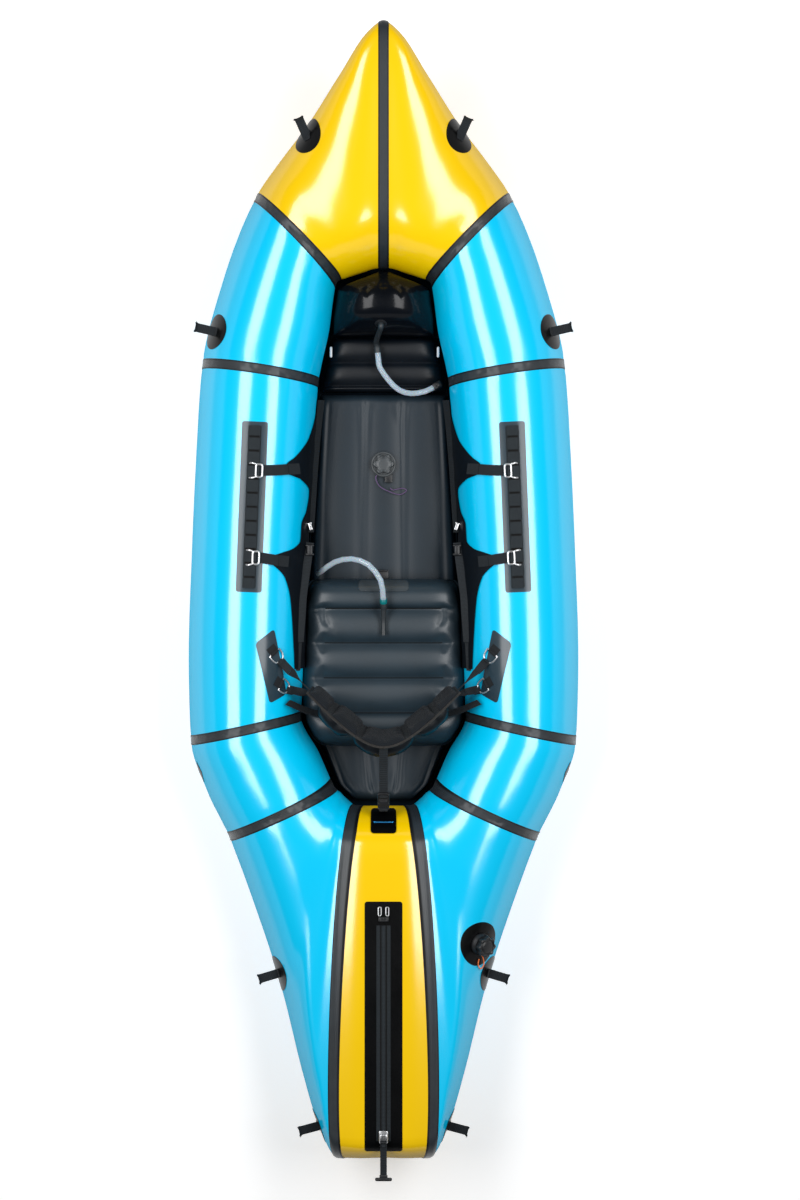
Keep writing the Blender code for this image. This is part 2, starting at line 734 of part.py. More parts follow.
def build_floor_sheet():
    edge = floor_edge()
    middle_y = (max(point.y for point in edge) + min(point.y for point in edge)) / 2
    rim = [Vector((p.x, p.y, max(p.z, FLOOR_CLOTH))) for p in edge]
    flat = []
    for point in edge:
        y = middle_y + (point.y - middle_y) * FLOOR_FLAT_SHARES[1]
        flat.append(Vector((point.x * FLOOR_FLAT_SHARES[0], y, FLOOR_CLOTH)))
    mesh = bmesh.new()
    drop = Vector((0.0, 0.0, FLOOR_CLOTH))
    sheets = []
    for shift in (Vector(), drop):
        outer = [mesh.verts.new(point - shift) for point in rim]
        inner = [mesh.verts.new(point - shift) for point in flat]
        for index in range(len(rim)):
            after = (index + 1) % len(rim)
            mesh.faces.new((outer[index], outer[after], inner[after], inner[index]))
        mesh.faces.new(inner)
        sheets.append(outer)
    for index in range(len(rim)):
        after = (index + 1) % len(rim)
        mesh.faces.new((sheets[0][index], sheets[0][after], sheets[1][after], sheets[1][index]))
    return mesh_object("hull_floor_sheet", mesh, ("black_cloth",))


# Cushions

def cushion(name, columns, rows, plan, top, waist, base, inset, colour):
    """Stuffed body: a formed top, widest at its waist and drawn in to a flat base."""
    mesh = bmesh.new()
    grid = []
    for v in rows:
        line = []
        for u in columns:
            x, y = plan(u, v)
            line.append(mesh.verts.new((x, y, top(u, v))))
        grid.append(line)
    last_row, last_column = len(rows) - 1, len(columns) - 1
    for row in range(last_row):
        for column in range(last_column):
            mesh.faces.new(
                (grid[row][column], grid[row][column + 1], grid[row + 1][column + 1], grid[row + 1][column])
            )
    edge = [(0, column) for column in range(last_column)]
    edge += [(row, last_column) for row in range(last_row)]
    edge += [(last_row, column) for column in range(last_column, 0, -1)]
    edge += [(row, 0) for row in range(last_row, 0, -1)]
    rim = [grid[row][column] for row, column in edge]
    centre = sum((vertex.co for vertex in rim), Vector()) / len(rim)
    foot = []
    for vertex in rim:
        vertex.co.z = waist
        x = centre.x + (vertex.co.x - centre.x) * (1 - inset)
        y = centre.y + (vertex.co.y - centre.y) * (1 - inset)
        foot.append(mesh.verts.new((x, y, base)))
    for index in range(len(rim)):
        after = (index + 1) % len(rim)
        mesh.faces.new((rim[index], rim[after], foot[after], foot[index]))
    mesh.faces.new(foot)
    return mesh_object(name, mesh, (colour,))


def spread(edges, steps_shares):
    """Grid places: each chamber between two edges gets the same inner shares."""
    places = []
    for low, high in zip(edges, edges[1:]):
        places += [low + (high - low) * share for share in steps_shares]
    places.append(edges[-1])
    return places


def chamber_height(value, edges):
    """0 on a seam between two chambers, 1 on a chamber's crest."""
    for low, high in zip(edges, edges[1:]):
        if low <= value <= high:
            share = (value - low) / (high - low)
            return math.sqrt(max(0.0, 1 - (2 * share - 1) ** 2))
    return 0.0


MAT_BASE = FLOOR_TOP
MAT_TOP = MAT_BASE + MAT_THICKNESS
DECK_EDGE_Y = STATION_SHARES["stern"][3] * HALF_LENGTH
MAT_REAR = DECK_EDGE_Y + MAT_CLEARANCE
MAT_FRONT = MAT_FRONT_SHARE * HALF_LENGTH
END_SLOPE_SHARE = 0.045


def build_mat():
    columns = spread(MAT_CHAMBER_SHARES, (0.0, 0.12, 0.3, 0.5, 0.7, 0.88))

    def plan(u, v):
        y = MAT_REAR + (MAT_FRONT - MAT_REAR) * v
        return u * (inner_half_width(y) - MAT_CLEARANCE), y

    def top(u, v):
        groove = MAT_GROOVE * (1 - chamber_height(u, MAT_CHAMBER_SHARES))
        end = min(min(v, 1 - v) / END_SLOPE_SHARE, 1.0)
        round_end = math.sqrt(max(0.0, 1 - (1 - end) ** 2))
        return MAT_BASE + MAT_THICKNESS * (0.4 + 0.6 * round_end) - groove * round_end

    waist = MAT_BASE + MAT_THICKNESS * 0.35
    return cushion("floor_mat", columns, MAT_ROW_SHARES, plan, top, waist, MAT_BASE, 0.03, "black_cloth")


BRACE_REAR = MAT_FRONT + MAT_CLEARANCE
BRACE_FRONT = BRACE_FRONT_SHARE * HALF_LENGTH
PILLOW_REAR = BRACE_FRONT + MAT_CLEARANCE
BRACE_RIB_SHARES = (0.0, 0.32, 0.68, 1.0)


def pillow_plan(u, v):
    front = STATION_SHARES["ridge"][3] * HALF_LENGTH - MAT_CLEARANCE
    half = PILLOW_WIDTH_SHARE * HALF_BEAM
    y = PILLOW_REAR + (front - PILLOW_REAR) * v
    return u * min(inner_half_width(y) - MAT_CLEARANCE, half), y


def pillow_top(u, v):
    across = math.sqrt(max(0.0, 1 - abs(u) ** 4))
    along = math.sqrt(max(0.0, 1 - abs(2 * v - 1) ** 3))
    return MAT_BASE + PILLOW_HEIGHT * (0.45 + 0.55 * across * along)


def pillow_face(u, v):
    """Place on the pillow's upper face, and the way out of it. It follows the cushion's flat facets."""
    low_u = max(share for share in PILLOW_COLUMN_SHARES if share <= u)
    high_u = min(share for share in PILLOW_COLUMN_SHARES if share > u)
    low_v = max(share for share in PILLOW_ROW_SHARES if share <= v)
    high_v = min(share for share in PILLOW_ROW_SHARES if share > v)
    corners = [Vector((*pillow_plan(a, b), pillow_top(a, b)))
               for a, b in ((low_u, low_v), (high_u, low_v), (high_u, high_v), (low_u, high_v))]
    middle = sum(corners, Vector()) / 4
    out = (corners[2] - corners[0]).cross(corners[3] - corners[1]).normalized()
    return middle, out


def build_foot_brace():
    def base_plan(u, v):
        y = BRACE_REAR + (BRACE_FRONT - BRACE_REAR) * v
        return u * (inner_half_width(y) - MAT_CLEARANCE), y

    def base_top(u, v):
        crown = (1 - abs(u) ** 6) ** 0.5 if abs(u) < 1 else 0.0
        rib = BRACE_RIB * (1 - chamber_height(v, BRACE_RIB_SHARES)) * crown
        slope = 0.75 + 0.25 * v
        return MAT_BASE + BRACE_HEIGHT * slope * (0.35 + 0.65 * crown) - rib

    base_columns = (-1.0, -0.96, -0.86, -0.6, 0.0, 0.6, 0.86, 0.96, 1.0)
    base_rows = spread(BRACE_RIB_SHARES, (0.0, 0.15, 0.5, 0.85))
    base_waist = MAT_BASE + BRACE_HEIGHT * 0.3
    cushion("foot_brace_base", base_columns, base_rows, base_plan, base_top, base_waist, MAT_BASE, 0.04,
            "black_cloth")

    waist = MAT_BASE + PILLOW_HEIGHT * 0.45
    cushion("foot_brace_pillow", PILLOW_COLUMN_SHARES, PILLOW_ROW_SHARES, pillow_plan, pillow_top, waist,
            MAT_BASE, 0.1, "black_cloth")


SEAT_FRONT = SEAT_FRONT_SHARE * HALF_LENGTH
SEAT_REAR = SEAT_FRONT - SEAT_LENGTH
SEAT_BASE = MAT_TOP + GAP
SEAM_SIDE_SHARE = 0.77


def build_seat():
    def plan(u, v):
        y = SEAT_REAR + (SEAT_FRONT - SEAT_REAR) * v
        near = inner_half_width(y)
        return u * (near - MAT_CLEARANCE), y

    def top(u, v):
        across = math.sqrt(max(0.0, 1 - abs(u) ** 8))
        end = math.sqrt(max(0.0, 1 - abs(2 * v - 1) ** 10))
        seam = SEAT_GROOVE * (1 - chamber_height(v, SEAT_SEAM_SHARES))
        fade = min(1.0, max(0.0, (1 - abs(u)) / (1 - SEAM_SIDE_SHARE) - 0.25) / 0.75)
        return SEAT_BASE + SEAT_THICKNESS * (0.45 + 0.55 * across * end) - seam * fade * end

    columns = (-1.0, -0.985, -0.93, -0.84, -0.7, -0.35, 0.0, 0.35, 0.7, 0.84, 0.93, 0.985, 1.0)
    rows = sorted(spread(SEAT_SEAM_SHARES, (0.0, 0.12, 0.5, 0.88)) + [0.01, 0.99])
    waist = SEAT_BASE + SEAT_THICKNESS * 0.42
    cushion("seat_cushion", columns, rows, plan, top, waist, SEAT_BASE, 0.07, "black_cloth")


# Backrest

BACKREST_SPANS = 12
BACKREST_NODE_SHARES = [2 * index / BACKREST_SPANS - 1 for index in range(BACKREST_SPANS + 1)]


def backrest_curve(x):
    """Plan curve of the backrest band: a flat middle and two straight wings."""
    bend = BACKREST_BEND_SHARE * HALF_BEAM
    middle = BACKREST_MIDDLE_SHARE * HALF_LENGTH
    return Vector((x, middle + BACKREST_SLOPE * (math.hypot(x, bend) - bend), 0.0))


def backrest_line(x):
    """The same curve in short straight spans, which every piece of the backrest follows."""
    place = (x / BACKREST_HALF_WIDTH + 1) / 2 * BACKREST_SPANS
    first = min(max(math.floor(place), 0), BACKREST_SPANS - 1)
    ends = [backrest_curve(BACKREST_NODE_SHARES[index] * BACKREST_HALF_WIDTH) for index in (first, first + 1)]
    return ends[0] + (ends[1] - ends[0]) * (place - first)


def backrest_normal(x):
    step = BACKREST_BAND
    along = backrest_line(x + step) - backrest_line(x - step)
    return Vector((-along.y, along.x, 0.0)).normalized()


def with_nodes(stations):
    """Add a station at each node of the line that lies between two stations."""
    made = []
    for near, far in zip(stations, stations[1:]):
        made.append(near)
        for node in BACKREST_NODE_SHARES:
            if near[0] < node < far[0]:
                share = (node - near[0]) / (far[0] - near[0])
                made.append(tuple(a + (b - a) * share for a, b in zip(near, far)))
    return made + [stations[-1]]


def backrest_loft(name, stations, colour):
    """Loft along the band. Each station: x share, front and back depth, bottom and top share."""
    loops = []
    for share, front, back, low, high in with_nodes(stations):
        x = share * BACKREST_HALF_WIDTH
        place, normal = backrest_line(x), backrest_normal(x)
        bottom = BACKREST_BOTTOM + BACKREST_HEIGHT * low
        top = BACKREST_BOTTOM + BACKREST_HEIGHT * high
        rise = (top - bottom) * 0.16
        depth = (front - back) * 0.3
        section = (
            (back, bottom + rise), (back + depth, bottom), (front - depth, bottom), (front, bottom + rise),
            (front, top - rise), (front - depth, top), (back + depth, top), (back, top - rise),
        )
        loops.append([place + normal * reach + Vector((0.0, 0.0, z)) for reach, z in section])
    return lofted(name, loops, (colour,))


PAD_EDGE_SHARES = (-0.96, -0.75, -0.7, -0.37, -0.32, 0.32, 0.37, 0.7, 0.75, 0.96)
CELL_EDGE_SHARES = (-0.8, -0.45, -0.38, 0.38, 0.45, 0.8)


def build_backrest():
    thin = BACKREST_BAND
    band = [(-1.0, thin, 0.0, 0.42, 0.9), (-0.98, thin, 0.0, 0.4, 0.92)]
    for low, high in zip(PAD_EDGE_SHARES[::2], PAD_EDGE_SHARES[1::2]):
        sides = abs(low + high) / 2
        bottom = 0.0 if sides < 0.7 else 0.3
        inner = (high - low) * 0.12
        band.append((low, thin, 0.0, bottom, 0.97))
        band.append((low + inner, BACKREST_PAD, 0.0, bottom, 1.0))
        if low < 0 < high:
            band.append((0.0, BACKREST_PAD * 1.15, 0.0, bottom, 1.0))
        band.append((high - inner, BACKREST_PAD, 0.0, bottom, 1.0))
        band.append((high, thin, 0.0, bottom, 0.97))
    band += [(0.98, thin, 0.0, 0.4, 0.92), (1.0, thin, 0.0, 0.42, 0.9)]
    backrest_loft("backrest_band", band, "black_webbing")

    cells = []
    web = -2 * GAP - BACKREST_BAND
    for low, high in zip(CELL_EDGE_SHARES[::2], CELL_EDGE_SHARES[1::2]):
        for step, swell in ((0.0, 0.0), (0.14, 0.75), (0.5, 1.0), (0.86, 0.75), (1.0, 0.0)):
            share = low + (high - low) * step
            cells.append((share, -2 * GAP, web - BACKREST_CELL * swell, 0.04, 0.78))
    backrest_loft("backrest_air_cells", cells, "black_cloth")
    hang_backrest()


def hang_backrest():
    """Hinge axis through the two upper rings, which the band and its cells turn about."""
    place = ring_frame(UPPER_RING_SHARES, UPPER_RING_TURN, 1).translation
    axis = bpy.data.objects.new("backrest_hinge", None)
    axis.location = (0.0, place.y, place.z)
    PARTS.objects.link(axis)
    bpy.context.view_layer.update()
    for name in ("backrest_band", "backrest_air_cells"):
        made = bpy.data.objects[name]
        made.parent = axis
        made.matrix_parent_inverse = axis.matrix_world.inverted()


# Backrest patches, rings and straps

def wire_loop():
    """Ring of wire: a straight bar at the origin, round corners, reaching along Y."""
    half = RING_WIDTH / 2
    corner = RING_CORNER
    middles = ((half, corner, -90), (half, RING_REACH - corner, 0))
    points = []
    for side, y, start in middles:
        for step in range(3):
            angle = math.radians(start + 45 * step)
            x = side - corner + corner * math.cos(angle)
            points.append((x, y + corner * math.sin(angle)))
    points += [(-x, y) for x, y in reversed(points)]
    return [Vector((x, y, 0.0)) for x, y in points]


def ring_frame(shares, turn, hand):
    x, y = hand * shares[0] * HALF_BEAM, shares[1] * HALF_LENGTH
    return surface_frame(x, y, mirrored(turn, hand), KEEPER_LENGTH / 2)


RING_HEIGHT = PATCH_TOP + RING_WIRE / 2 + GAP


def add_keeper(patch, name, frame):
    """Folded webbing that holds a ring's bar, fused with its patch."""
    block = box(name + "_keeper", (KEEPER_WIDTH, KEEPER_LENGTH, KEEPER_HEIGHT), frame, (),
                middle=(0.0, 0.0, GAP + GAP + KEEPER_HEIGHT / 2))
    combine(patch, block, "UNION")
    axle = frame @ Matrix.Translation((0.0, 0.0, RING_HEIGHT)) @ Matrix.Rotation(math.pi / 2, 4, "Y")
    bore = cylinder(name + "_bore", RING_WIRE / 2 + GAP, -RING_WIDTH, RING_WIDTH, axle, (), sides=12)
    combine(patch, bore, "DIFFERENCE")


def build_ring(name, frame):
    place = frame @ Matrix.Translation((0.0, 0.0, RING_HEIGHT))
    made = tube(name, wire_loop(), RING_WIRE, "steel", detail=1, cyclic=True)
    made.matrix_world = place
    return made


def build_strap(name, frame, share, level, hand):
    """Webbing from a ring to the band: to the band's end, or on to its back face."""
    reach = RING_REACH + RING_WIRE / 2 + GAP
    start = frame @ Vector((0.0, reach, RING_HEIGHT))
    flat = (frame.to_3x3() @ Vector((1.0, 0.0, 0.0))).normalized()
    height = Vector((0.0, 0.0, BACKREST_BOTTOM + BACKREST_HEIGHT * level))
    x = hand * share * BACKREST_HALF_WIDTH
    wing = (backrest_line(x) - backrest_line(x - hand * STRAP_WIDTH)).normalized()
    if share < 1:
        back = -GAP * 2 - WEBBING_THICKNESS / 2
    else:
        back = BACKREST_BAND / 2
    end = backrest_line(x) + backrest_normal(x) * back + wing * GAP + height
    upright = Vector((0.0, 0.0, 1.0))
    if flat.dot(upright.cross(end - start)) < 0:
        flat = -flat
    last_bend = end + wing * STRAP_WIDTH
    points = [start, start.lerp(last_bend, 0.4), start.lerp(last_bend, 0.75), last_bend, end]
    turns = [flat, flat.lerp(upright, 0.35), flat.lerp(upright, 0.8), upright, upright]
    return ribbon(name, points, STRAP_WIDTH, WEBBING_THICKNESS, turns, ("black_webbing",))


def build_backrest_mounts():
    for hand in (-1, 1):
        word = hand_word(hand)
        x = hand * BACKREST_PATCH_SHARES[0] * HALF_BEAM
        y = BACKREST_PATCH_SHARES[1] * HALF_LENGTH
        frame = surface_frame(x, y, 90 - hand * BACKREST_PATCH_TURN, BACKREST_PATCH_WIDTH / 2)
        outline = rounded_rectangle(BACKREST_PATCH_WIDTH, BACKREST_PATCH_LENGTH, PATCH_THICKNESS * 6)
        patch = skin("backrest_patch_" + word, "mid_panel_" + word, outline, frame, GAP, PATCH_TOP,
                     "black_tape")
        for label, shares, turn, x_share, level in (
            ("upper", UPPER_RING_SHARES, UPPER_RING_TURN, 1.0, 0.7),
            ("lower", LOWER_RING_SHARES, LOWER_RING_TURN, 0.83, 0.4),
        ):
            name = "backrest_ring_" + label + "_" + word
            place = ring_frame(shares, turn, hand)
            add_keeper(patch, name, place)
            build_ring(name, place)
            build_strap("backrest_strap_" + label + "_" + word, place, x_share, level, hand)


# Tie-down loops

def side_frame(station, hand, along_share, side, turn):
    """Frame on the hull near a station, at a side of its ring. Y runs along the given heading."""
    index = LABELS.index((station, hand, "on"))
    step = 1 if hand < 0 else -1
    low = math.floor(side)
    corners = []
    for ring in (RINGS[index], RINGS[index + step]):
        point = ring[low].lerp(ring[low + 1], side - low)
        corners.append((point, ring[low + 1] - ring[low]))
    place = corners[0][0].lerp(corners[1][0], along_share)
    around = corners[0][1].lerp(corners[1][1], along_share)
    up = (corners[1][0] - corners[0][0]).cross(around).normalized()
    if up.z < 0:
        up = -up
    angle = math.radians(turn)
    heading = Vector((math.cos(angle), math.sin(angle), 0.0))
    along = (heading - up * heading.dot(up)).normalized()
    frame = Matrix((along.cross(up), along, up)).transposed().to_4x4()
    frame.translation = place
    return frame


def build_ties():
    """Patch, stitched pad and a stiff tab that stands off the hull."""
    for place, (panel, station, share, side, turn, climb) in TIE_PLACES.items():
        for hand in (-1, 1):
            name = "tie_down_" + place + "_" + hand_word(hand)
            heading = mirrored(turn, hand)
            frame = side_frame(station, hand, share, side, heading)
            panel_name = panel + hand_word(hand)
            outline = circle(TIE_PATCH_DIAMETER / 2, 16)
            patch = skin(name, panel_name, outline, frame, GAP, PATCH_TOP, "black_tape")
            half_width, half_pad = TIE_TAB_WIDTH / 2, TIE_PAD_LENGTH / 2
            pad_outline = [(half_width, half_pad), (-half_width, half_pad),
                           (-half_width, -half_pad), (half_width, -half_pad)]
            pad_top = PATCH_TOP + TIE_TAB_THICKNESS
            pad = skin(name + "_pad", panel_name, pad_outline, frame, GAP * 2, pad_top, "black_tape")
            combine(patch, pad, "UNION")
            angle, lift = math.radians(heading), math.radians(climb)
            level = math.cos(lift)
            along = Vector((math.cos(angle) * level, math.sin(angle) * level, math.sin(lift)))
            up = frame.col[2].to_3d()
            across = along.cross(up).normalized()
            start = frame @ Vector((0.0, 0.0, PATCH_TOP + TIE_TAB_THICKNESS / 2))
            tab = ribbon(name + "_tab", [start, start + along * TIE_TAB_LENGTH], TIE_TAB_WIDTH,
                         TIE_TAB_THICKNESS, [across] * 2, ())
            combine(patch, tab, "UNION")


# Daisy chains, hooks and side panels

def daisy_frame(hand):
    x, y = hand * DAISY_SHARES[0] * HALF_BEAM, DAISY_SHARES[1] * HALF_LENGTH
    return surface_frame(x, y, 90 + hand * DAISY_TURN, DAISY_WIDTH / 2)


def slot_place(number):
    return (number - (DAISY_SLOTS - 1) / 2) * -DAISY_PITCH


def build_daisy_chains():
    for hand in (-1, 1):
        word = hand_word(hand)
        frame = daisy_frame(hand)
        name = "daisy_chain_" + word
        panel = "mid_panel_" + word
        patch_outline = rounded_rectangle(DAISY_WIDTH, DAISY_LENGTH, PATCH_THICKNESS * 4)
        patch = skin(name, panel, patch_outline, frame, GAP, PATCH_TOP, "black_tape")
        band_length = DAISY_LENGTH - DAISY_SLOT
        half_band, half_length = DAISY_BAND_WIDTH / 2, band_length / 2
        band_outline = [(half_band, half_length), (-half_band, half_length),
                        (-half_band, -half_length), (half_band, -half_length)]
        band = skin(name + "_band", panel, band_outline, frame, PATCH_TOP - GAP,
                    PATCH_TOP + DAISY_BAND_HEIGHT, "black_tape")
        combine(patch, band, "UNION")
        slots = bmesh.new()
        for number in range(DAISY_SLOTS):
            made = bmesh.ops.create_cube(slots, size=1.0)["verts"]
            y = slot_place(number)
            floor = surface_drop(frame, y) + PATCH_TOP + GAP
            middle = (0.0, y, floor + DAISY_SLOT_HEIGHT / 2)
            size = (DAISY_BAND_WIDTH * 2, DAISY_SLOT, DAISY_SLOT_HEIGHT)
            place = frame @ Matrix.Translation(middle) @ Matrix.Diagonal((*size, 1.0))
            bmesh.ops.transform(slots, matrix=place, verts=made)
        cutter = mesh_object(name + "_slots", slots, ())
        combine(patch, cutter, "DIFFERENCE")
        build_hooks(frame, hand)


def surface_drop(frame, y):
    """How far the hull lies over the frame's plane at a place along it."""
    place = frame @ Vector((0.0, y, 0.0))
    height = surface_height(place.x, place.y)
    return (height - place.z) * frame.col[2].z


def build_hooks(frame, hand):
    """Bent wire: two prongs in two neighbouring slots, and a bar outside that the strap goes round."""
    for label, (first, second) in HOOK_SLOTS.items():
        near, far = slot_place(first), slot_place(second)
        middle = (near + far) / 2
        height = surface_drop(frame, middle) + PATCH_TOP + GAP + DAISY_SLOT_HEIGHT / 2
        half = abs(far - near) / 2
        bend = HOOK_WIRE
        bar = DAISY_BAND_WIDTH / 2 + HOOK_WIRE / 2 + GAP * 3
        tip = bar - HOOK_REACH
        outline = ((tip, half), (bar - bend, half), (bar - bend * 0.3, half - bend * 0.3),
                   (bar, half - bend), (bar, bend - half), (bar - bend * 0.3, bend * 0.3 - half),
                   (bar - bend, -half), (tip, -half))
        points = [Vector((-hand * x, y + middle, height)) for x, y in outline]
        name = "hook_" + label + "_" + hand_word(hand)
        made = tube(name, points, HOOK_WIRE, "steel", detail=1)
        made.matrix_world = frame


def build_side_panels():
    for hand in (-1, 1):
        word = hand_word(hand)
        outline = [(hand * x * HALF_BEAM, y * HALF_LENGTH) for x, y in SIDE_PANEL_SHARES]
        low = PATCH_TOP + GAP
        panel = skin_slab("side_panel_" + word, "mid_panel_" + word, low, low + PATCH_THICKNESS,
                          ("black_cloth",))
        guide = prism("side_panel_outline_" + word, outline, Matrix(), 0.0, TUBE_HEIGHT * 1.5)
        combine(panel, guide, "INTERSECT")


# Valves

def build_main_valve():
    x, y = MAIN_VALVE_SHARES[0] * HALF_BEAM, MAIN_VALVE_SHARES[1] * HALF_LENGTH
    frame = surface_frame(x, y, 90.0, VALVE_BODY_DIAMETER / 4)
    base = skin("main_valve_base", "stern_panel_right", circle(VALVE_PATCH_DIAMETER / 2, 24), frame, GAP,
                PATCH_TOP, "black_tape")
    body = cylinder("main_valve_body", VALVE_BODY_DIAMETER / 2, -VALVE_BODY_DEPTH, VALVE_BODY_RISE, frame, ())
    combine(base, body, "UNION")
    neck_top = VALVE_BODY_RISE + VALVE_NECK_RISE
    neck = cylinder("main_valve_neck", VALVE_NECK_DIAMETER / 2, 0.0, neck_top, frame, ())
    combine(base, neck, "UNION")
    throat = cylinder("main_valve_throat", VALVE_NECK_DIAMETER / 3, -VALVE_BODY_DEPTH * 2, neck_top * 2,
                      frame, ())
    combine(base, throat, "DIFFERENCE")
    hole = cylinder("main_valve_hole", VALVE_BODY_DIAMETER / 2 + GAP, -VALVE_BODY_DEPTH * 2,
                    VALVE_BODY_DEPTH * 2, frame, ())
    combine(bpy.data.objects["stern_panel_right"], hole, "DIFFERENCE")
    cap_outline = lobed(VALVE_CAP_DIAMETER / 2, VALVE_CAP_LOBE, VALVE_CAP_LOBES)
    cap_bottom = VALVE_BODY_RISE + GAP
    build_cap("main_valve_cap", cap_outline, frame, cap_bottom, VALVE_CAP_HEIGHT,
              VALVE_NECK_DIAMETER / 2 + GAP, VALVE_NECK_RISE + GAP, "black_plastic")


def build_cap(name, outline, frame, bottom, height, bore, depth, colour):
    """Scalloped cap with a blind bore that fits over a valve's neck."""
    solid = prism(name, [(a, b) for a, b in outline], Matrix(), bottom, bottom + height, (colour,))
    solid.matrix_world = frame
    edge = solid.modifiers.new("edge", "BEVEL")
    edge.width = height / 8
    edge.segments = 1
    edge.limit_method = "ANGLE"
    edge.angle_limit = math.radians(60)
    socket = cylinder(name + "_bore", bore, bottom - depth, bottom + depth, frame, ())
    combine(solid, socket, "DIFFERENCE")
    return solid


def build_floor_valve():
    y = FLOOR_VALVE_SHARE * HALF_LENGTH
    frame = Matrix.Translation((0.0, y, MAT_TOP))
    ring = cylinder("floor_valve_base", FLOOR_VALVE_DIAMETER / 2, GAP, FLOOR_VALVE_RISE, frame,
                    ("grey_plastic",))
    spigot = cylinder("floor_valve_spigot", FLOOR_VALVE_SPIGOT / 2, -FLOOR_VALVE_DEPTH,
                      FLOOR_VALVE_RISE / 2, frame, ())
    combine(ring, spigot, "UNION")
    neck = cylinder("floor_valve_neck", FLOOR_NECK_DIAMETER / 2, 0.0, FLOOR_VALVE_RISE + FLOOR_NECK_RISE,
                    frame, ())
    combine(ring, neck, "UNION")
    pocket = cylinder("floor_valve_pocket", FLOOR_VALVE_SPIGOT / 2 + GAP, -FLOOR_VALVE_DEPTH - GAP,
                      FLOOR_VALVE_DEPTH, frame, ())
    combine(bpy.data.objects["floor_mat"], pocket, "DIFFERENCE")
    outline = lobed(FLOOR_CAP_DIAMETER / 2, FLOOR_CAP_LOBE, FLOOR_CAP_LOBES)
    build_cap("floor_valve_cap", outline, frame, FLOOR_VALVE_RISE + GAP, FLOOR_CAP_HEIGHT,
              FLOOR_NECK_DIAMETER / 2 + GAP, FLOOR_NECK_RISE + GAP, "grey_plastic")


# Stern deck zip

def deck_point(share, height=0.0):
    """Place on the deck's centre line at a share of the stern section's length."""
    (_, outer_y, _, inner_y, lift_in, lift_out, tall, taper, end_in, end_out) = STATION_SHARES["stern"][:10]
    y = (inner_y + (outer_y - inner_y) * share) * HALF_LENGTH
    lift = (lift_in + (lift_out - lift_in) * share) * TUBE_HEIGHT
    half = tall * TUBE_HEIGHT / 2 * (1 - taper * share) * end_height(share, end_in, end_out)
    return Vector((0.0, y, TUBE_MIDDLE + lift + half + height))


def zip_frame():
    """Frame at the closed slider: Y runs to the bow along the straight deck line, Z out of it."""
    rest = deck_point(ZIP_REST_SHARE)
    along = (deck_point(1 / 2) - rest).normalized()
    across = Vector((1.0, 0.0, 0.0))
    up = across.cross(along)
    frame = Matrix((across, along, up)).transposed().to_4x4()
    frame.translation = rest
    return frame


def build_zip():
    frame = zip_frame()
    rest = deck_point(ZIP_REST_SHARE)
    patch_rear = -(deck_point(ZIP_PATCH_REAR_SHARE) - rest).length
    rear = -(deck_point(ZIP_REAR_SHARE) - rest).length
    outline = [(x, y + patch_rear + ZIP_PATCH_LENGTH / 2)
               for x, y in rounded_rectangle(ZIP_PATCH_WIDTH, ZIP_PATCH_LENGTH, PATCH_THICKNESS * 5)]
    patch = skin("zip_patch", "stern_deck_panel", outline, frame, GAP, PATCH_TOP, "black_tape")
    tape_top = PATCH_TOP + ZIP_TAPE_THICKNESS
    middle_y = rear + ZIP_TAPE_LENGTH / 2
    tape = box("zip_tape", (ZIP_TAPE_WIDTH, ZIP_TAPE_LENGTH, ZIP_TAPE_THICKNESS + GAP), frame, (),
               middle=(0.0, middle_y, tape_top - (ZIP_TAPE_THICKNESS + GAP) / 2))
    combine(patch, tape, "UNION")
    teeth_length = ZIP_TAPE_LENGTH - ZIP_TEETH_WIDTH
    teeth = box("zip_teeth", (ZIP_TEETH_WIDTH, teeth_length, ZIP_TEETH_HEIGHT + GAP), frame, (),
                middle=(0.0, middle_y, tape_top + (ZIP_TEETH_HEIGHT - GAP) / 2))
    combine(patch, teeth, "UNION")

    floor = tape_top + GAP
    slider = box("zip_slider", (ZIP_SLIDER_WIDTH, ZIP_SLIDER_LENGTH, ZIP_SLIDER_HEIGHT), Matrix(),
                 ("steel",), middle=(0.0, 0.0, floor + ZIP_SLIDER_HEIGHT / 2))
    slider.matrix_world = frame
    channel = box("zip_slider_channel",
                  (ZIP_TEETH_WIDTH + 2 * GAP, ZIP_SLIDER_LENGTH * 2, (ZIP_TEETH_HEIGHT + GAP) * 2), frame, (),
                  middle=(0.0, 0.0, floor - GAP))
    combine(slider, channel, "DIFFERENCE")
    axis_height = floor + ZIP_SLIDER_HEIGHT + ZIP_EAR_HEIGHT / 2
    gauge = ZIP_PULL_WIDTH / 2 + GAP
    for hand in (-1, 1):
        ear_x = hand * (gauge + ZIP_EAR_THICKNESS / 2)
        ear = box("zip_ear_" + hand_word(hand), (ZIP_EAR_THICKNESS, ZIP_EAR_HEIGHT, ZIP_EAR_HEIGHT * 1.5),
                  frame, (), middle=(ear_x, 0.0, axis_height - ZIP_EAR_HEIGHT / 4))
        combine(slider, ear, "UNION")
    axle = frame @ Matrix.Translation((0.0, 0.0, axis_height)) @ Matrix.Rotation(math.pi / 2, 4, "Y")
    half_pin = gauge + ZIP_EAR_THICKNESS / 2
    pin = cylinder("zip_pin", ZIP_PIN_DIAMETER / 2, -half_pin, half_pin, axle, (), sides=12)
    combine(slider, pin, "UNION")
    build_zip_pull(frame, axis_height)


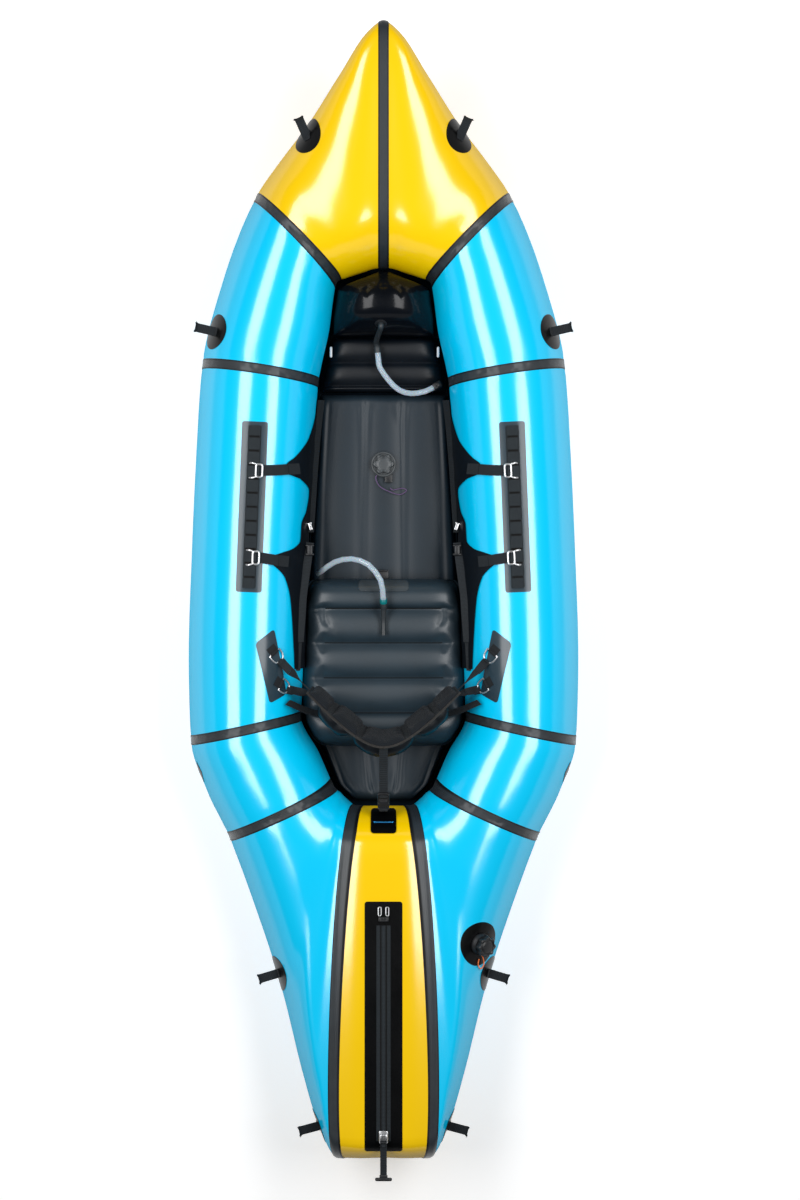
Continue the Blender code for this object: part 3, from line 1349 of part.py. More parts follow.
def build_zip_pull(frame, axis_height):
    """Flat tag with an eye round the slider's pin and a cross bar at its far end."""
    place = frame @ Matrix.Translation((0.0, 0.0, axis_height))
    eye_width = ZIP_PULL_WIDTH
    eye_radius = ZIP_PIN_DIAMETER / 2 + GAP + ZIP_PULL_THICKNESS / 2
    turn = Matrix.Rotation(math.pi / 2, 4, "Y")
    eye = cylinder("zip_pull", eye_radius, -eye_width / 2, eye_width / 2, turn, ("black_plastic",), sides=16)
    eye.matrix_world = place
    tag = box("zip_pull_tag", (ZIP_PULL_WIDTH, ZIP_PULL_LENGTH, ZIP_PULL_THICKNESS), place, (),
              middle=(0.0, -ZIP_PULL_LENGTH / 2, 0.0))
    combine(eye, tag, "UNION")
    bar_place = place @ Matrix.Translation((0.0, -ZIP_PULL_LENGTH, 0.0)) @ turn
    bar = cylinder("zip_pull_bar", ZIP_BAR_DIAMETER / 2, -ZIP_BAR_LENGTH / 2, ZIP_BAR_LENGTH / 2, bar_place,
                   (), sides=12)
    combine(eye, bar, "UNION")
    bore = cylinder("zip_pull_bore", ZIP_PIN_DIAMETER / 2 + GAP, -eye_width, eye_width, place @ turn, (),
                    sides=12)
    combine(eye, bore, "DIFFERENCE")


# Rear strap, buckle and stern anchor

ANCHOR_BAR_HEIGHT = PATCH_TOP + ANCHOR_BAR_DIAMETER * 0.4


def anchor_frame():
    """Frame on the deck's front edge, Z out of the cloth."""
    place = deck_point(ANCHOR_SHARE)
    return surface_frame(place.x, place.y, 90.0, ANCHOR_BAR_DIAMETER * 2)


def build_rear_strap():
    back = backrest_line(0.0).y
    start_level = BACKREST_BOTTOM + BACKREST_HEIGHT * 0.93
    start = Vector((0.0, back - GAP * 2, start_level))
    anchor_top = anchor_frame() @ Vector((0.0, 0.0, ANCHOR_BAR_HEIGHT))
    run = anchor_top - start
    along = run.normalized()
    across = Vector((1.0, 0.0, 0.0))
    up = across.cross(along)
    if up.z < 0:
        up = -up
    buckle_middle = start + run * 0.72
    half = BUCKLE_LENGTH / 2
    frame = Matrix((across, -along, up)).transposed().to_4x4()
    frame.translation = buckle_middle
    outline = rounded_rectangle(BUCKLE_WIDTH, BUCKLE_LENGTH, BUCKLE_THICKNESS / 3)
    buckle = prism("rear_buckle", outline, frame, -BUCKLE_THICKNESS / 2, BUCKLE_THICKNESS / 2,
                   ("black_plastic",))
    slot_width = STRAP_WIDTH + GAP * 6
    for number, place in enumerate((0.38, 0.2, -0.36)):
        slot = box("rear_buckle_slot_" + str(number), (slot_width, BUCKLE_SLOT, BUCKLE_THICKNESS * 2), frame,
                   (), middle=(0.0, place * BUCKLE_LENGTH, 0.0))
        combine(buckle, slot, "DIFFERENCE")
    strap_end = buckle_middle - along * (half + GAP)
    middle = start.lerp(strap_end, 0.5)
    ribbon("rear_strap", [start + Vector((0.0, -WEBBING_THICKNESS / 2, 0.0)), middle, strap_end], STRAP_WIDTH,
           WEBBING_THICKNESS, [across] * 3, ("black_webbing",))
    build_anchor(buckle_middle + along * (half + GAP), across)


def build_anchor(strap_start, across):
    """Patch on the deck's front edge, with the bar and webbing that the buckle hangs on."""
    anchor = deck_point(ANCHOR_SHARE)
    outline = [(x, y + anchor.y) for x, y in
               rounded_rectangle(ANCHOR_WIDTH, ANCHOR_LENGTH, PATCH_THICKNESS * 5)]
    patch = skin_slab("stern_anchor", "stern_deck_panel", GAP, PATCH_TOP, ("black_tape",))
    guide = prism("stern_anchor_outline", outline, Matrix(), TUBE_HEIGHT / 2, TUBE_HEIGHT * 1.5)
    combine(patch, guide, "INTERSECT")
    bar_place = anchor_frame() @ Matrix.Translation((0.0, 0.0, ANCHOR_BAR_HEIGHT))
    turned = bar_place @ Matrix.Rotation(math.pi / 2, 4, "Y")
    bar = cylinder("stern_anchor_bar", ANCHOR_BAR_DIAMETER / 2, -ANCHOR_BAR_LENGTH / 2,
                   ANCHOR_BAR_LENGTH / 2, turned, (), sides=12)
    combine(patch, bar, "UNION")
    webbing = ribbon("stern_anchor_webbing", [strap_start, bar_place.translation], STRAP_WIDTH,
                     WEBBING_THICKNESS, [across] * 2, ())
    combine(patch, webbing, "UNION")


# Stems, hoses and tethers

def hose_points(table, steps):
    return smooth_route([Vector(point) for point in table], steps)


BRACE_HOSE_ROUTE = (
    (-0.014, 0.584, 0.112), (-0.012, 0.566, 0.112), (-0.0085, 0.548, 0.112), (0.0133, 0.517, 0.110),
    (0.0374, 0.495, 0.107), (0.0657, 0.4867, 0.104), (0.1003, 0.492, 0.1), (0.128, 0.506, 0.098),
)
SEAT_HOSE_ROUTE = (
    (0.0, -0.016, 0.186), (-0.001, -0.004, 0.19), (-0.007, 0.035, 0.2), (-0.036, 0.072, 0.198),
    (-0.076, 0.086, 0.184), (-0.116, 0.079, 0.158), (-0.148, 0.058, 0.126), (-0.158, 0.052, 0.1),
)
MAIN_TETHER_ROUTE = ((0.004, -0.026, 0.004), (0.01, -0.034, 0.005), (0.014, -0.05, 0.006),
                     (0.006, -0.06, 0.005), (-0.003, -0.048, 0.005), (-0.001, -0.036, 0.004))
FLOOR_TETHER_ROUTE = (
    (-0.0161, 0.2908, 0.066), (-0.019, 0.2842, 0.0655), (-0.01, 0.265, 0.0648), (0.014, 0.2515, 0.0643),
    (0.04, 0.2445, 0.0588), (0.056, 0.254, 0.0552), (0.046, 0.26, 0.0562), (0.024, 0.2555, 0.0629),
    (0.016, 0.26, 0.0641),
)



def stem_route(start, out, hose):
    """Stem that leaves a cushion square to its face and meets the start of its hose end to end."""
    along = (hose[1] - hose[0]).normalized()
    end = hose[0] - along * GAP
    collar = end - along * STEM_COLLAR_LENGTH
    bend = start + out * STEM_EXIT
    reach = (collar - bend).length / 3
    handles = (bend, bend + out * reach, collar - along * reach, collar)
    route = [start]
    for step in range(STEM_BENDS + 1):
        t = step / STEM_BENDS
        weights = ((1 - t) ** 3, 3 * t * (1 - t) ** 2, 3 * t**2 * (1 - t), t**3)
        route.append(sum((handle * weight for handle, weight in zip(handles, weights)), Vector()))
    return route + [end]


def build_stem(name, start, out, hose):
    route = stem_route(start, out, hose)
    radii = [1.0] * (len(route) - 2) + [STEM_COLLAR / STEM_DIAMETER] * 2
    tube(name, route, STEM_DIAMETER, "black_plastic", radii=radii)


def build_hoses():
    hose = hose_points(BRACE_HOSE_ROUTE, 2)
    place, out = pillow_face(*BRACE_STEM_SHARES)
    build_stem("foot_brace_stem", place + out * GAP, out, hose)
    tube("foot_brace_hose", hose, HOSE_DIAMETER, "clear_hose")
    hose = hose_points(SEAT_HOSE_ROUTE, 2)
    lift = SEAT_BASE + SEAT_THICKNESS + STEM_DIAMETER / 2 + GAP
    start = Vector((0.0, SEAT_FRONT - SEAT_LENGTH * SEAT_STEM_SHARE, lift))
    build_stem("seat_stem", start, Vector((0.0, 1.0, 0.0)), hose)
    tube("seat_hose", hose, HOSE_DIAMETER, "clear_hose")
    tube("floor_valve_tether", hose_points(FLOOR_TETHER_ROUTE, 3), TETHER_DIAMETER, "purple_cord")
    x, y = MAIN_VALVE_SHARES[0] * HALF_BEAM, MAIN_VALVE_SHARES[1] * HALF_LENGTH
    frame = surface_frame(x, y, 90.0, VALVE_BODY_DIAMETER / 4)
    route = [frame @ point for point in hose_points(MAIN_TETHER_ROUTE, 3)]
    tube("main_valve_tether", route, TETHER_DIAMETER, "orange_cord")


build_hull()
build_floor_sheet()
build_mat()
build_foot_brace()
build_seat()
build_backrest()
build_backrest_mounts()
build_ties()
build_daisy_chains()
build_side_panels()
build_main_valve()
build_floor_valve()
build_zip()
build_rear_strap()
build_hoses()
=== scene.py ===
import json
import math

import bmesh
import bpy
from mathutils import Matrix, Vector, noise
from mathutils.bvhtree import BVHTree


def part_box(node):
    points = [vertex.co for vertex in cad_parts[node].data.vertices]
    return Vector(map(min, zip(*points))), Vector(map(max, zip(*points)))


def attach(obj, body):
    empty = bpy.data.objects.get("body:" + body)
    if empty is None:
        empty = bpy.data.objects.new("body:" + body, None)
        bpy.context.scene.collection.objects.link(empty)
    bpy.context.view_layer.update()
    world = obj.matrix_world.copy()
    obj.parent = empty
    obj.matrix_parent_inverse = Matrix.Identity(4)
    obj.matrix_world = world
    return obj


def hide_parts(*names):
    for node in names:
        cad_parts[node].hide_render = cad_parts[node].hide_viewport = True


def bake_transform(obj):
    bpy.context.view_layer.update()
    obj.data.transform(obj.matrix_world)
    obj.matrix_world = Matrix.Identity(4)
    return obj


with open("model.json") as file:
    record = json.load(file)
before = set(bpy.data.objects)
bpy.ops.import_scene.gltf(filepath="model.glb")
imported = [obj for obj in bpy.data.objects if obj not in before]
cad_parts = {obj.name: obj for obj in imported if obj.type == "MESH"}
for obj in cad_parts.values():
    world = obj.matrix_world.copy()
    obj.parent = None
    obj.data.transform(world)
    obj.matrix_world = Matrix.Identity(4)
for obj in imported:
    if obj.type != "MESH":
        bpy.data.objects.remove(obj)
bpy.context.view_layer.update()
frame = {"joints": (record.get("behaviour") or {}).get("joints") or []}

# Picture
PICTURE_HEIGHT = 1200
METRES_PER_PIXEL = 0.0024
TUBE_LEVEL = 0.14
CAMERA_HEIGHT = 6.0
CAMERA_Y = -0.012
CAMERA_SHIFT_PIXELS = 16.5
SENSOR = 36.0

# Studio
SOFTBOX_X = 1.35
SOFTBOX_Y = 0.42
SOFTBOX_HEIGHT = 2.7
SOFTBOX_WIDTH = 1.05
SOFTBOX_LENGTH = 2.95
SOFTBOX_BRIGHTNESS = 6.8
AMBIENT = 0.05
FLOOR_COLOUR = 0.8
FLOOR_GLOW = 0.45
FLOOR_HALF_WIDTH = 30.0
BACKDROP_HEIGHT = 14.0

# Hull sizes
HULL_LENGTH = 2.66
HULL_BEAM = 0.934
TUBE_HEIGHT = 0.28
FLOOR_TOP = 0.0013
TAPE_TOP = 0.0008
SEAM_TAPE_WIDTH = 0.024
TAPE_LIFT = 0.0015
HALF_LENGTH = HULL_LENGTH / 2
HALF_BEAM = HULL_BEAM / 2
TUBE_MIDDLE = FLOOR_TOP + TAPE_TOP + TUBE_HEIGHT / 2
RING_SIDES = 20

# One row for each station from the bow's centre plane to the stern's.
# Outer x and y, inner x and y: shares of half beam and half length.
# Lift at the inner and outer end, then height: shares of the tube height.
# Taper of the height, then rounding at the inner end, the outer end and the outer end below.
# Bulge: share of half beam. Rise: power that the lift follows.
STATION_SHARES = {
    "ridge": (0.0, 1.0, 0.0, 0.590, 0.04, 0.71, 1.07, 0.25, 0.28, 0.72, 0.72, 0.0, 1.8),
    "bow_a": (0.077, 0.982, 0.047, 0.588, 0.04, 0.70, 1.07, 0.25, 0.29, 0.71, 0.71, 0.0, 1.8),
    "bow_b": (0.218, 0.913, 0.090, 0.583, 0.04, 0.57, 1.06, 0.20, 0.31, 0.69, 0.69, 0.0, 1.8),
    "bow_c": (0.385, 0.832, 0.145, 0.577, 0.035, 0.34, 1.04, 0.12, 0.36, 0.64, 0.64, 0.0, 1.8),
    "bow_d": (0.529, 0.774, 0.197, 0.571, 0.03, 0.15, 1.01, 0.05, 0.43, 0.57, 0.57, 0.0, 1.8),
    "bow_seam": (0.656, 0.714, 0.236, 0.565, 0.02, 0.03, 1.0, 0.0, 0.5, 0.5, 0.5, 0.0, 1.0),
    "front_a": (0.827, 0.562, 0.282, 0.472, 0.0, 0.0, 1.0, 0.0, 0.5, 0.5, 0.5, 0.0, 1.0),
    "front_seam": (0.930, 0.415, 0.334, 0.383, 0.0, 0.0, 1.0, 0.0, 0.5, 0.5, 0.5, 0.0, 1.0),
    "mid_a": (0.961, 0.253, 0.366, 0.244, 0.0, 0.0, 1.0, 0.0, 0.5, 0.5, 0.5, 0.0, 1.0),
    "mid_b": (0.984, 0.075, 0.394, 0.075, 0.0, 0.0, 1.0, 0.0, 0.5, 0.5, 0.5, 0.0, 1.0),
    "mid_c": (1.0, -0.113, 0.411, -0.107, 0.0, 0.0, 1.0, 0.0, 0.5, 0.5, 0.5, 0.0, 1.0),
    "mid_seam": (0.989, -0.261, 0.422, -0.218, 0.0, 0.0, 1.0, 0.0, 0.5, 0.5, 0.5, 0.0, 1.0),
    "rear_a": (0.906, -0.352, 0.332, -0.284, 0.0, 0.0, 1.0, 0.0, 0.5, 0.5, 0.5, 0.0, 1.0),
    "rear_seam": (0.794, -0.434, 0.250, -0.347, 0.0, 0.0, 1.0, 0.0, 0.5, 0.5, 0.5, 0.0, 1.0),
    "stern_a": (0.625, -0.594, 0.221, -0.356, 0.0, 0.02, 0.99, 0.0, 0.42, 0.5, 0.5, 0.0, 1.0),
    "stern_b": (0.510, -0.716, 0.199, -0.364, 0.0, 0.05, 0.98, 0.05, 0.30, 0.5, 0.50, 0.02, 1.0),
    "stern_c": (0.400, -0.857, 0.183, -0.369, 0.0, 0.10, 0.97, 0.10, 0.20, 0.35, 0.48, 0.043, 1.0),
    "stern_d": (0.313, -0.950, 0.167, -0.374, 0.0, 0.14, 0.97, 0.15, 0.15, 0.2, 0.42, 0.050, 1.0),
    "deck_seam": (0.205, -1.003, 0.136, -0.3805, 0.0, 0.17, 0.98, 0.15, 0.12, 0.08, 0.38, 0.075, 1.0),
    "deck_a": (0.103, -1.003, 0.073, -0.3805, 0.0, 0.17, 1.05, 0.15, 0.12, 0.07, 0.36, 0.03, 1.0),
    "stern": (0.0, -1.002, 0.0, -0.3805, 0.0, 0.17, 1.05, 0.15, 0.12, 0.07, 0.36, 0.0, 1.0),
}
BULGE_POWER = 0.35
STATIONS = list(STATION_SHARES)
ROWS = list(STATION_SHARES.values())
LAST_STATION = len(STATIONS) - 1
HANDS = ((-1, "left"), (1, "right"))
PANEL_SEAMS = {
    "bow": ("ridge", "bow_seam"), "front": ("bow_seam", "front_seam"), "mid": ("front_seam", "mid_seam"),
    "rear": ("mid_seam", "rear_seam"), "stern": ("rear_seam", "deck_seam"),
}

# Cord routes, in metres
BRACE_HOSE_ROUTE = (
    (-0.014, 0.584, 0.112), (-0.012, 0.566, 0.112), (-0.0085, 0.548, 0.112), (0.0133, 0.517, 0.110),
    (0.0374, 0.495, 0.107), (0.0657, 0.4867, 0.104), (0.1003, 0.492, 0.1), (0.128, 0.506, 0.098),
)
SEAT_HOSE_ROUTE = (
    (0.0, -0.016, 0.186), (-0.001, -0.004, 0.19), (-0.007, 0.035, 0.2), (-0.036, 0.072, 0.198),
    (-0.076, 0.086, 0.184), (-0.116, 0.079, 0.158), (-0.148, 0.058, 0.126), (-0.158, 0.052, 0.1),
)
MAIN_TETHER_ROUTE = ((0.004, -0.026, 0.004), (0.01, -0.034, 0.005), (0.014, -0.05, 0.006),
                     (0.006, -0.06, 0.005), (-0.003, -0.048, 0.005), (-0.001, -0.036, 0.004))
FLOOR_TETHER_ROUTE = (
    (-0.0161, 0.2908, 0.066), (-0.019, 0.2842, 0.0655), (-0.01, 0.265, 0.0648), (0.014, 0.2515, 0.0643),
    (0.04, 0.2445, 0.0588), (0.056, 0.254, 0.0552), (0.046, 0.26, 0.0562), (0.024, 0.2555, 0.0629),
    (0.016, 0.26, 0.0641),
)
HOSE_DIAMETER = 0.0135
TETHER_DIAMETER = 0.0026


# Camera and lamps

def build_camera():
    data = bpy.data.cameras.new("camera")
    data.sensor_width = SENSOR
    view_height = PICTURE_HEIGHT * METRES_PER_PIXEL
    data.lens = SENSOR * (CAMERA_HEIGHT - TUBE_LEVEL) / view_height
    data.shift_x = CAMERA_SHIFT_PIXELS / PICTURE_HEIGHT
    made = bpy.data.objects.new("camera", data)
    made.location = (0.0, CAMERA_Y, CAMERA_HEIGHT)
    bpy.context.scene.collection.objects.link(made)
    bpy.context.scene.camera = made


def softbox(name, x):
    """Long soft light parallel to the boat, turned towards it."""
    data = bpy.data.lights.new(name, "AREA")
    data.shape = "RECTANGLE"
    data.size = SOFTBOX_WIDTH
    data.size_y = SOFTBOX_LENGTH
    data.energy = SOFTBOX_BRIGHTNESS * math.pi * SOFTBOX_WIDTH * SOFTBOX_LENGTH
    made = bpy.data.objects.new(name, data)
    made.location = (x, SOFTBOX_Y, SOFTBOX_HEIGHT)
    made.rotation_euler = (0.0, math.atan2(x, SOFTBOX_HEIGHT), 0.0)
    bpy.context.scene.collection.objects.link(made)


build_camera()


# Shader helpers

class Value:
    """A value inside a finish, on which sums can be written."""

    def __init__(self, finish, socket):
        self.finish = finish
        self.socket = socket

    def math(self, operation, *values):
        inputs = dict(enumerate((self, *values)))
        return self.finish.node("ShaderNodeMath", {"operation": operation}, inputs)

    def __add__(self, other):
        return self.math("ADD", other)

    def __mul__(self, other):
        return self.math("MULTIPLY", other)

    def __sub__(self, other):
        return self.math("SUBTRACT", other)

    def __rsub__(self, other):
        return self.math("MULTIPLY", -1.0) + other

    def clamp(self, low=0.0, high=1.0):
        return self.finish.node("ShaderNodeClamp", {}, {"Value": self, "Min": low, "Max": high})


class Finish:
    """A material under construction, with its nodes."""

    def __init__(self, name, **constants):
        self.material = bpy.data.materials.new(name)
        self.material.use_nodes = True
        self.tree = self.material.node_tree
        self.shader = self.tree.nodes["Principled BSDF"]
        for key, value in constants.items():
            self.feed(key.replace("_", " "), value)

    def feed(self, name, value):
        self.put(self.shader.inputs[name], value)

    def put(self, socket, value):
        if isinstance(value, Value):
            self.tree.links.new(value.socket, socket)
        else:
            socket.default_value = value

    def node(self, kind, settings, inputs, output=0):
        made = self.tree.nodes.new(kind)
        for key, value in settings.items():
            setattr(made, key, value)
        for key, value in inputs.items():
            self.put(made.inputs[key], value)
        return Value(self, made.outputs[output])

    def place(self, output="Object", turn=0.0):
        spot = self.node("ShaderNodeTexCoord", {}, {}, output)
        return self.node("ShaderNodeMapping", {}, {"Vector": spot, "Rotation": (0.0, 0.0, turn)})

    def axis(self, spot, number):
        return self.node("ShaderNodeSeparateXYZ", {}, {"Vector": spot}, number)

    def noise(self, spot, scale, detail=3.0, roughness=0.5):
        inputs = {"Vector": spot, "Scale": scale, "Detail": detail, "Roughness": roughness}
        return self.node("ShaderNodeTexNoise", {}, inputs)

    def stripes(self, spot, scale, direction):
        settings = {"wave_type": "BANDS", "bands_direction": direction}
        inputs = {"Vector": spot, "Scale": scale, "Detail": 0.0}
        return self.node("ShaderNodeTexWave", settings, inputs, 1)

    def ramp(self, value, low, high):
        inputs = {"Value": value, "From Min": low, "From Max": high}
        return self.node("ShaderNodeMapRange", {"clamp": True}, inputs)

    def mix(self, factor, first, second):
        return self.node("ShaderNodeMix", {"data_type": "RGBA"}, {0: factor, 6: first, 7: second}, 2)

    def bump(self, height, strength, distance):
        inputs = {"Height": height, "Strength": strength, "Distance": distance}
        self.feed("Normal", self.node("ShaderNodeBump", {}, inputs))
        return self.material


def shade(colour, factor):
    return (colour[0] * factor, colour[1] * factor, colour[2] * factor, 1.0)


# Finishes

YARN = 0.0007
HULL_SHADE = 0.96
HULL_ROUGHNESS = 0.34
HULL_COAT = 0.25


def coated_cloth(name, colour):
    """Thin woven cloth under a smooth coating, with faint uneven colour."""
    finish = Finish(name, Roughness=HULL_ROUGHNESS, Coat_Weight=HULL_COAT, Coat_Roughness=0.17,
                    Coat_IOR=4.0, Specular_IOR_Level=0.0)
    spot = finish.place()
    patches = finish.noise(spot, 5.0, 4.0)
    finish.feed("Base Color", finish.mix(patches, shade(colour, HULL_SHADE), shade(colour, 1.0)))
    cloth = finish.place("UV")
    warp = finish.stripes(cloth, 1 / YARN / math.tau, "X")
    weft = finish.stripes(cloth, 1 / YARN / math.tau, "Y")
    dents = finish.noise(spot, 38.0, 3.0)
    height = (warp + weft) * 0.05 + dents * 1.4
    return finish.bump(height, 0.25, 0.0006)


def tape_finish(name, colour, coat=0.25, coat_ior=1.5, coat_roughness=0.25, painted_edge_shade=False):
    """Black welded tape: fine ribs along its length, a satin face, and, on the seams, edges darkened as
    painted shade of their step down to the cloth.
    """
    finish = Finish(name, Coat_Weight=coat, Coat_Roughness=coat_roughness, Coat_IOR=coat_ior,
                    Specular_IOR_Level=0.3)
    cloth = finish.place("UV")
    ribs = finish.stripes(cloth, 95.0, "X")
    weave = finish.stripes(cloth, 420.0, "Y")
    grime = finish.noise(finish.place(), 22.0, 5.0)
    face = finish.mix(grime, shade(colour, 0.7), shade(colour, 1.5))
    if painted_edge_shade:
        # Painted shade: the tape's outer edges are darkened and lose their coat, where the tape steps
        # down to the cloth.
        side = (finish.axis(cloth, 0) - SEAM_TAPE_WIDTH / 2).math("ABSOLUTE")
        edge = finish.ramp(side, SEAM_TAPE_WIDTH * 0.33, SEAM_TAPE_WIDTH * 0.4)
        face = finish.mix(edge, face, shade(colour, 0.15))
        finish.feed("Coat Weight", (1.0 - edge) * coat)
    finish.feed("Base Color", face)
    finish.feed("Roughness", finish.ramp(grime, 0.2, 0.8) * 0.2 + 0.36)
    return finish.bump(ribs * 0.8 + weave * 0.25 + grime * 0.6, 0.5, 0.0006)


def cushion_finish(name, colour, roughness, coat, coat_ior=1.5, crease=0.5, coat_roughness=0.16,
                   gloss=0.25):
    """Black coated cloth of the cushions: satin, fine weave, small creases."""
    finish = Finish(name, Coat_Weight=coat, Coat_Roughness=coat_roughness, Coat_IOR=coat_ior,
                    Specular_IOR_Level=gloss)
    spot = finish.place()
    wear = finish.noise(spot, 9.0, 6.0, 0.6)
    finish.feed("Base Color", finish.mix(wear, shade(colour, 0.75), shade(colour, 1.35)))
    finish.feed("Roughness", finish.ramp(wear, 0.25, 0.75) * 0.14 + roughness)
    creases = finish.noise(spot, 60.0, 4.0, 0.55)
    weave = finish.stripes(spot, 260.0, "X") + finish.stripes(spot, 260.0, "Y")
    return finish.bump(creases * crease + weave * 0.12, 0.3, 0.0009)


DAISY_PITCH = 0.0329
SLOT_SHADE_HALF_LENGTH = 0.0112
SLOT_SHADE_EDGE = 0.0012
ZIP_GROOVE_SHADE = (0.0042, 0.0078)
GROOVE_SHADE_EDGE = 0.0008


def webbing_finish(name, colour, pitch=0.0022, slot_shade_pitch=0.0, groove=None):
    """Woven strap: ribs and a herringbone of yarns, with painted shade in its slots and in the grooves
    beside a zip's teeth.
    """
    finish = Finish(name, Roughness=0.78, Sheen_Weight=0.05, Sheen_Roughness=0.4, Specular_IOR_Level=0.3)
    cloth = finish.place("UV")
    ribs = finish.stripes(cloth, 1 / pitch / math.tau * 2, "Y")
    yarns = finish.stripes(finish.place("UV", turn=math.radians(35)), 260.0, "X")
    dust = finish.noise(finish.place(), 40.0, 5.0)
    lit = (ribs * 0.6 + yarns * 0.2 + dust * 0.4).clamp()
    face = finish.mix(lit, shade(colour, 0.55), shade(colour, 1.7))
    if slot_shade_pitch:
        # Painted shade: the daisy chain's slots are drawn near-black, standing in for the shade inside
        # them.
        along = (finish.axis(cloth, 1) * (1 / slot_shade_pitch) + 0.5).math("FRACT")
        beside = finish.ramp((along - 0.5).math("ABSOLUTE"), 0.07, 0.11)
        side = finish.axis(cloth, 0).math("ABSOLUTE")
        past = finish.ramp(side, SLOT_SHADE_HALF_LENGTH, SLOT_SHADE_HALF_LENGTH + SLOT_SHADE_EDGE)
        face = finish.mix((beside + past).clamp(), shade(colour, 0.04), face)
    if groove:
        # Painted shade: dark lines in the grooves beside the zip's teeth.
        side = finish.axis(cloth, 0).math("ABSOLUTE")
        in_groove_shade = finish.ramp(side, groove[0], groove[0] + GROOVE_SHADE_EDGE)
        beyond = finish.ramp(side, groove[1], groove[1] + GROOVE_SHADE_EDGE)
        face = finish.mix(in_groove_shade * (1.0 - beyond), face, shade(colour, 0.1))
    finish.feed("Base Color", face)
    return finish.bump(ribs + yarns * 0.5, 0.8, 0.0007)


def plastic_finish(name, colour, roughness):
    finish = Finish(name)
    spot = finish.place()
    grain = finish.noise(spot, 900.0, 2.0)
    wear = finish.noise(spot, 30.0, 5.0)
    finish.feed("Base Color", finish.mix(wear, shade(colour, 0.8), shade(colour, 1.25)))
    finish.feed("Roughness", finish.ramp(wear, 0.3, 0.7) * 0.15 + roughness)
    return finish.bump(grain, 0.25, 0.0002)


def steel_finish(name, colour):
    finish = Finish(name, Metallic=1.0, Base_Color=colour)
    spot = finish.place()
    smears = finish.noise(spot, 140.0, 4.0)
    finish.feed("Roughness", finish.ramp(smears, 0.3, 0.8) * 0.16 + 0.24)
    return finish.bump(smears, 0.1, 0.0002)


def hose_finish(name, colour):
    """Clear soft hose, seen as a milky tube with a bright wall."""
    finish = Finish(name, Roughness=0.12, Coat_Weight=0.8, Coat_Roughness=0.05, Subsurface_Weight=0.2,
                    IOR=1.45)
    spot = finish.place()
    cloud = finish.noise(spot, 60.0, 3.0)
    finish.feed("Base Color", finish.mix(cloud, shade(colour, 0.85), shade(colour, 1.05)))
    edge = finish.node("ShaderNodeLayerWeight", {}, {"Blend": 0.35}, 1)
    finish.feed("Alpha", (edge * 0.75 + 0.42).clamp())
    return finish.bump(cloud, 0.1, 0.0004)


def cord_finish(name, colour):
    finish = Finish(name, Roughness=0.8, Sheen_Weight=0.3)
    spot = finish.place(turn=math.radians(40))
    strands = finish.stripes(spot, 300.0, "DIAGONAL")
    finish.feed("Base Color", finish.mix(strands, shade(colour, 0.55), shade(colour, 1.3)))
    return finish.bump(strands, 0.7, 0.0004)


BINDING_COLOUR = (0.036, 0.034, 0.032)
YELLOW = coated_cloth("yellow_cloth", (1.0, 0.63, 0.0))
BLUE = coated_cloth("blue_cloth", (0.0, 0.62, 1.0))
# The black tapes, cloths and webbings below are tinted blue, partly as painted light: blue bounced off
# the tubes.
TAPE = tape_finish("seam_tape", (0.018, 0.023, 0.028), 0.35, 1.5, 0.22, True)
GREY_PATCH = cushion_finish("grey_patch", (0.045, 0.055, 0.062), 0.35, 0.5)
CUSHION = cushion_finish("cushion_cloth", (0.014, 0.027, 0.038), 0.45, 0.6, 1.6, 0.5, 0.34)
SIDE_CLOTH = cushion_finish("side_cloth", (0.003, 0.005, 0.008), 0.5, 0.05, gloss=0.12)
BRACE_CLOTH = cushion_finish("brace_cloth", (0.002, 0.004, 0.007), 0.4, 0.5, 1.5, 0.5, 0.36, 0.1)
# Near-black, for the painted shade along the seat's seams.
SEAM_SHADE_LINE = cushion_finish("seam_line", (0.001, 0.0015, 0.002), 0.6, 0.0)
PILLOW = cushion_finish("pillow_cloth", (0.002, 0.003, 0.005), 0.3, 0.4, 1.5, 0.05, 0.14, 0.05)
MAT_CLOTH = cushion_finish("mat_cloth", (0.010, 0.019, 0.028), 0.5, 0.5, 1.5, 0.5, 0.4, 0.1)
FLOOR = cushion_finish("floor_cloth", (0.004, 0.012, 0.021), 0.55, 0.02, gloss=0.05)
WEBBING = webbing_finish("black_webbing", (0.010, 0.013, 0.016))
DAISY_WEBBING = webbing_finish("daisy_webbing", (0.016, 0.021, 0.025), 0.0022, DAISY_PITCH)
TWILL = webbing_finish("twill_webbing", (0.012, 0.015, 0.018), 0.0032)
BINDING = webbing_finish("edge_binding", BINDING_COLOUR, 0.0018)
ZIP_TAPE = webbing_finish("zip_tape", (0.015, 0.020, 0.024), 0.0031, groove=ZIP_GROOVE_SHADE)
MESH_PAD = webbing_finish("mesh_pad", (0.004, 0.006, 0.009), 0.0042)
GLOSS_PATCH = cushion_finish("glossy_patch", (0.001, 0.0012, 0.0015), 0.3, 0.25, gloss=0.1)
PATCH = tape_finish("patch_cloth", (0.008, 0.027, 0.042), 0.4, 1.8, 0.18)
PLASTIC = plastic_finish("black_plastic", (0.010, 0.011, 0.013), 0.3)
RUBBER = plastic_finish("black_rubber", (0.022, 0.027, 0.031), 0.4)
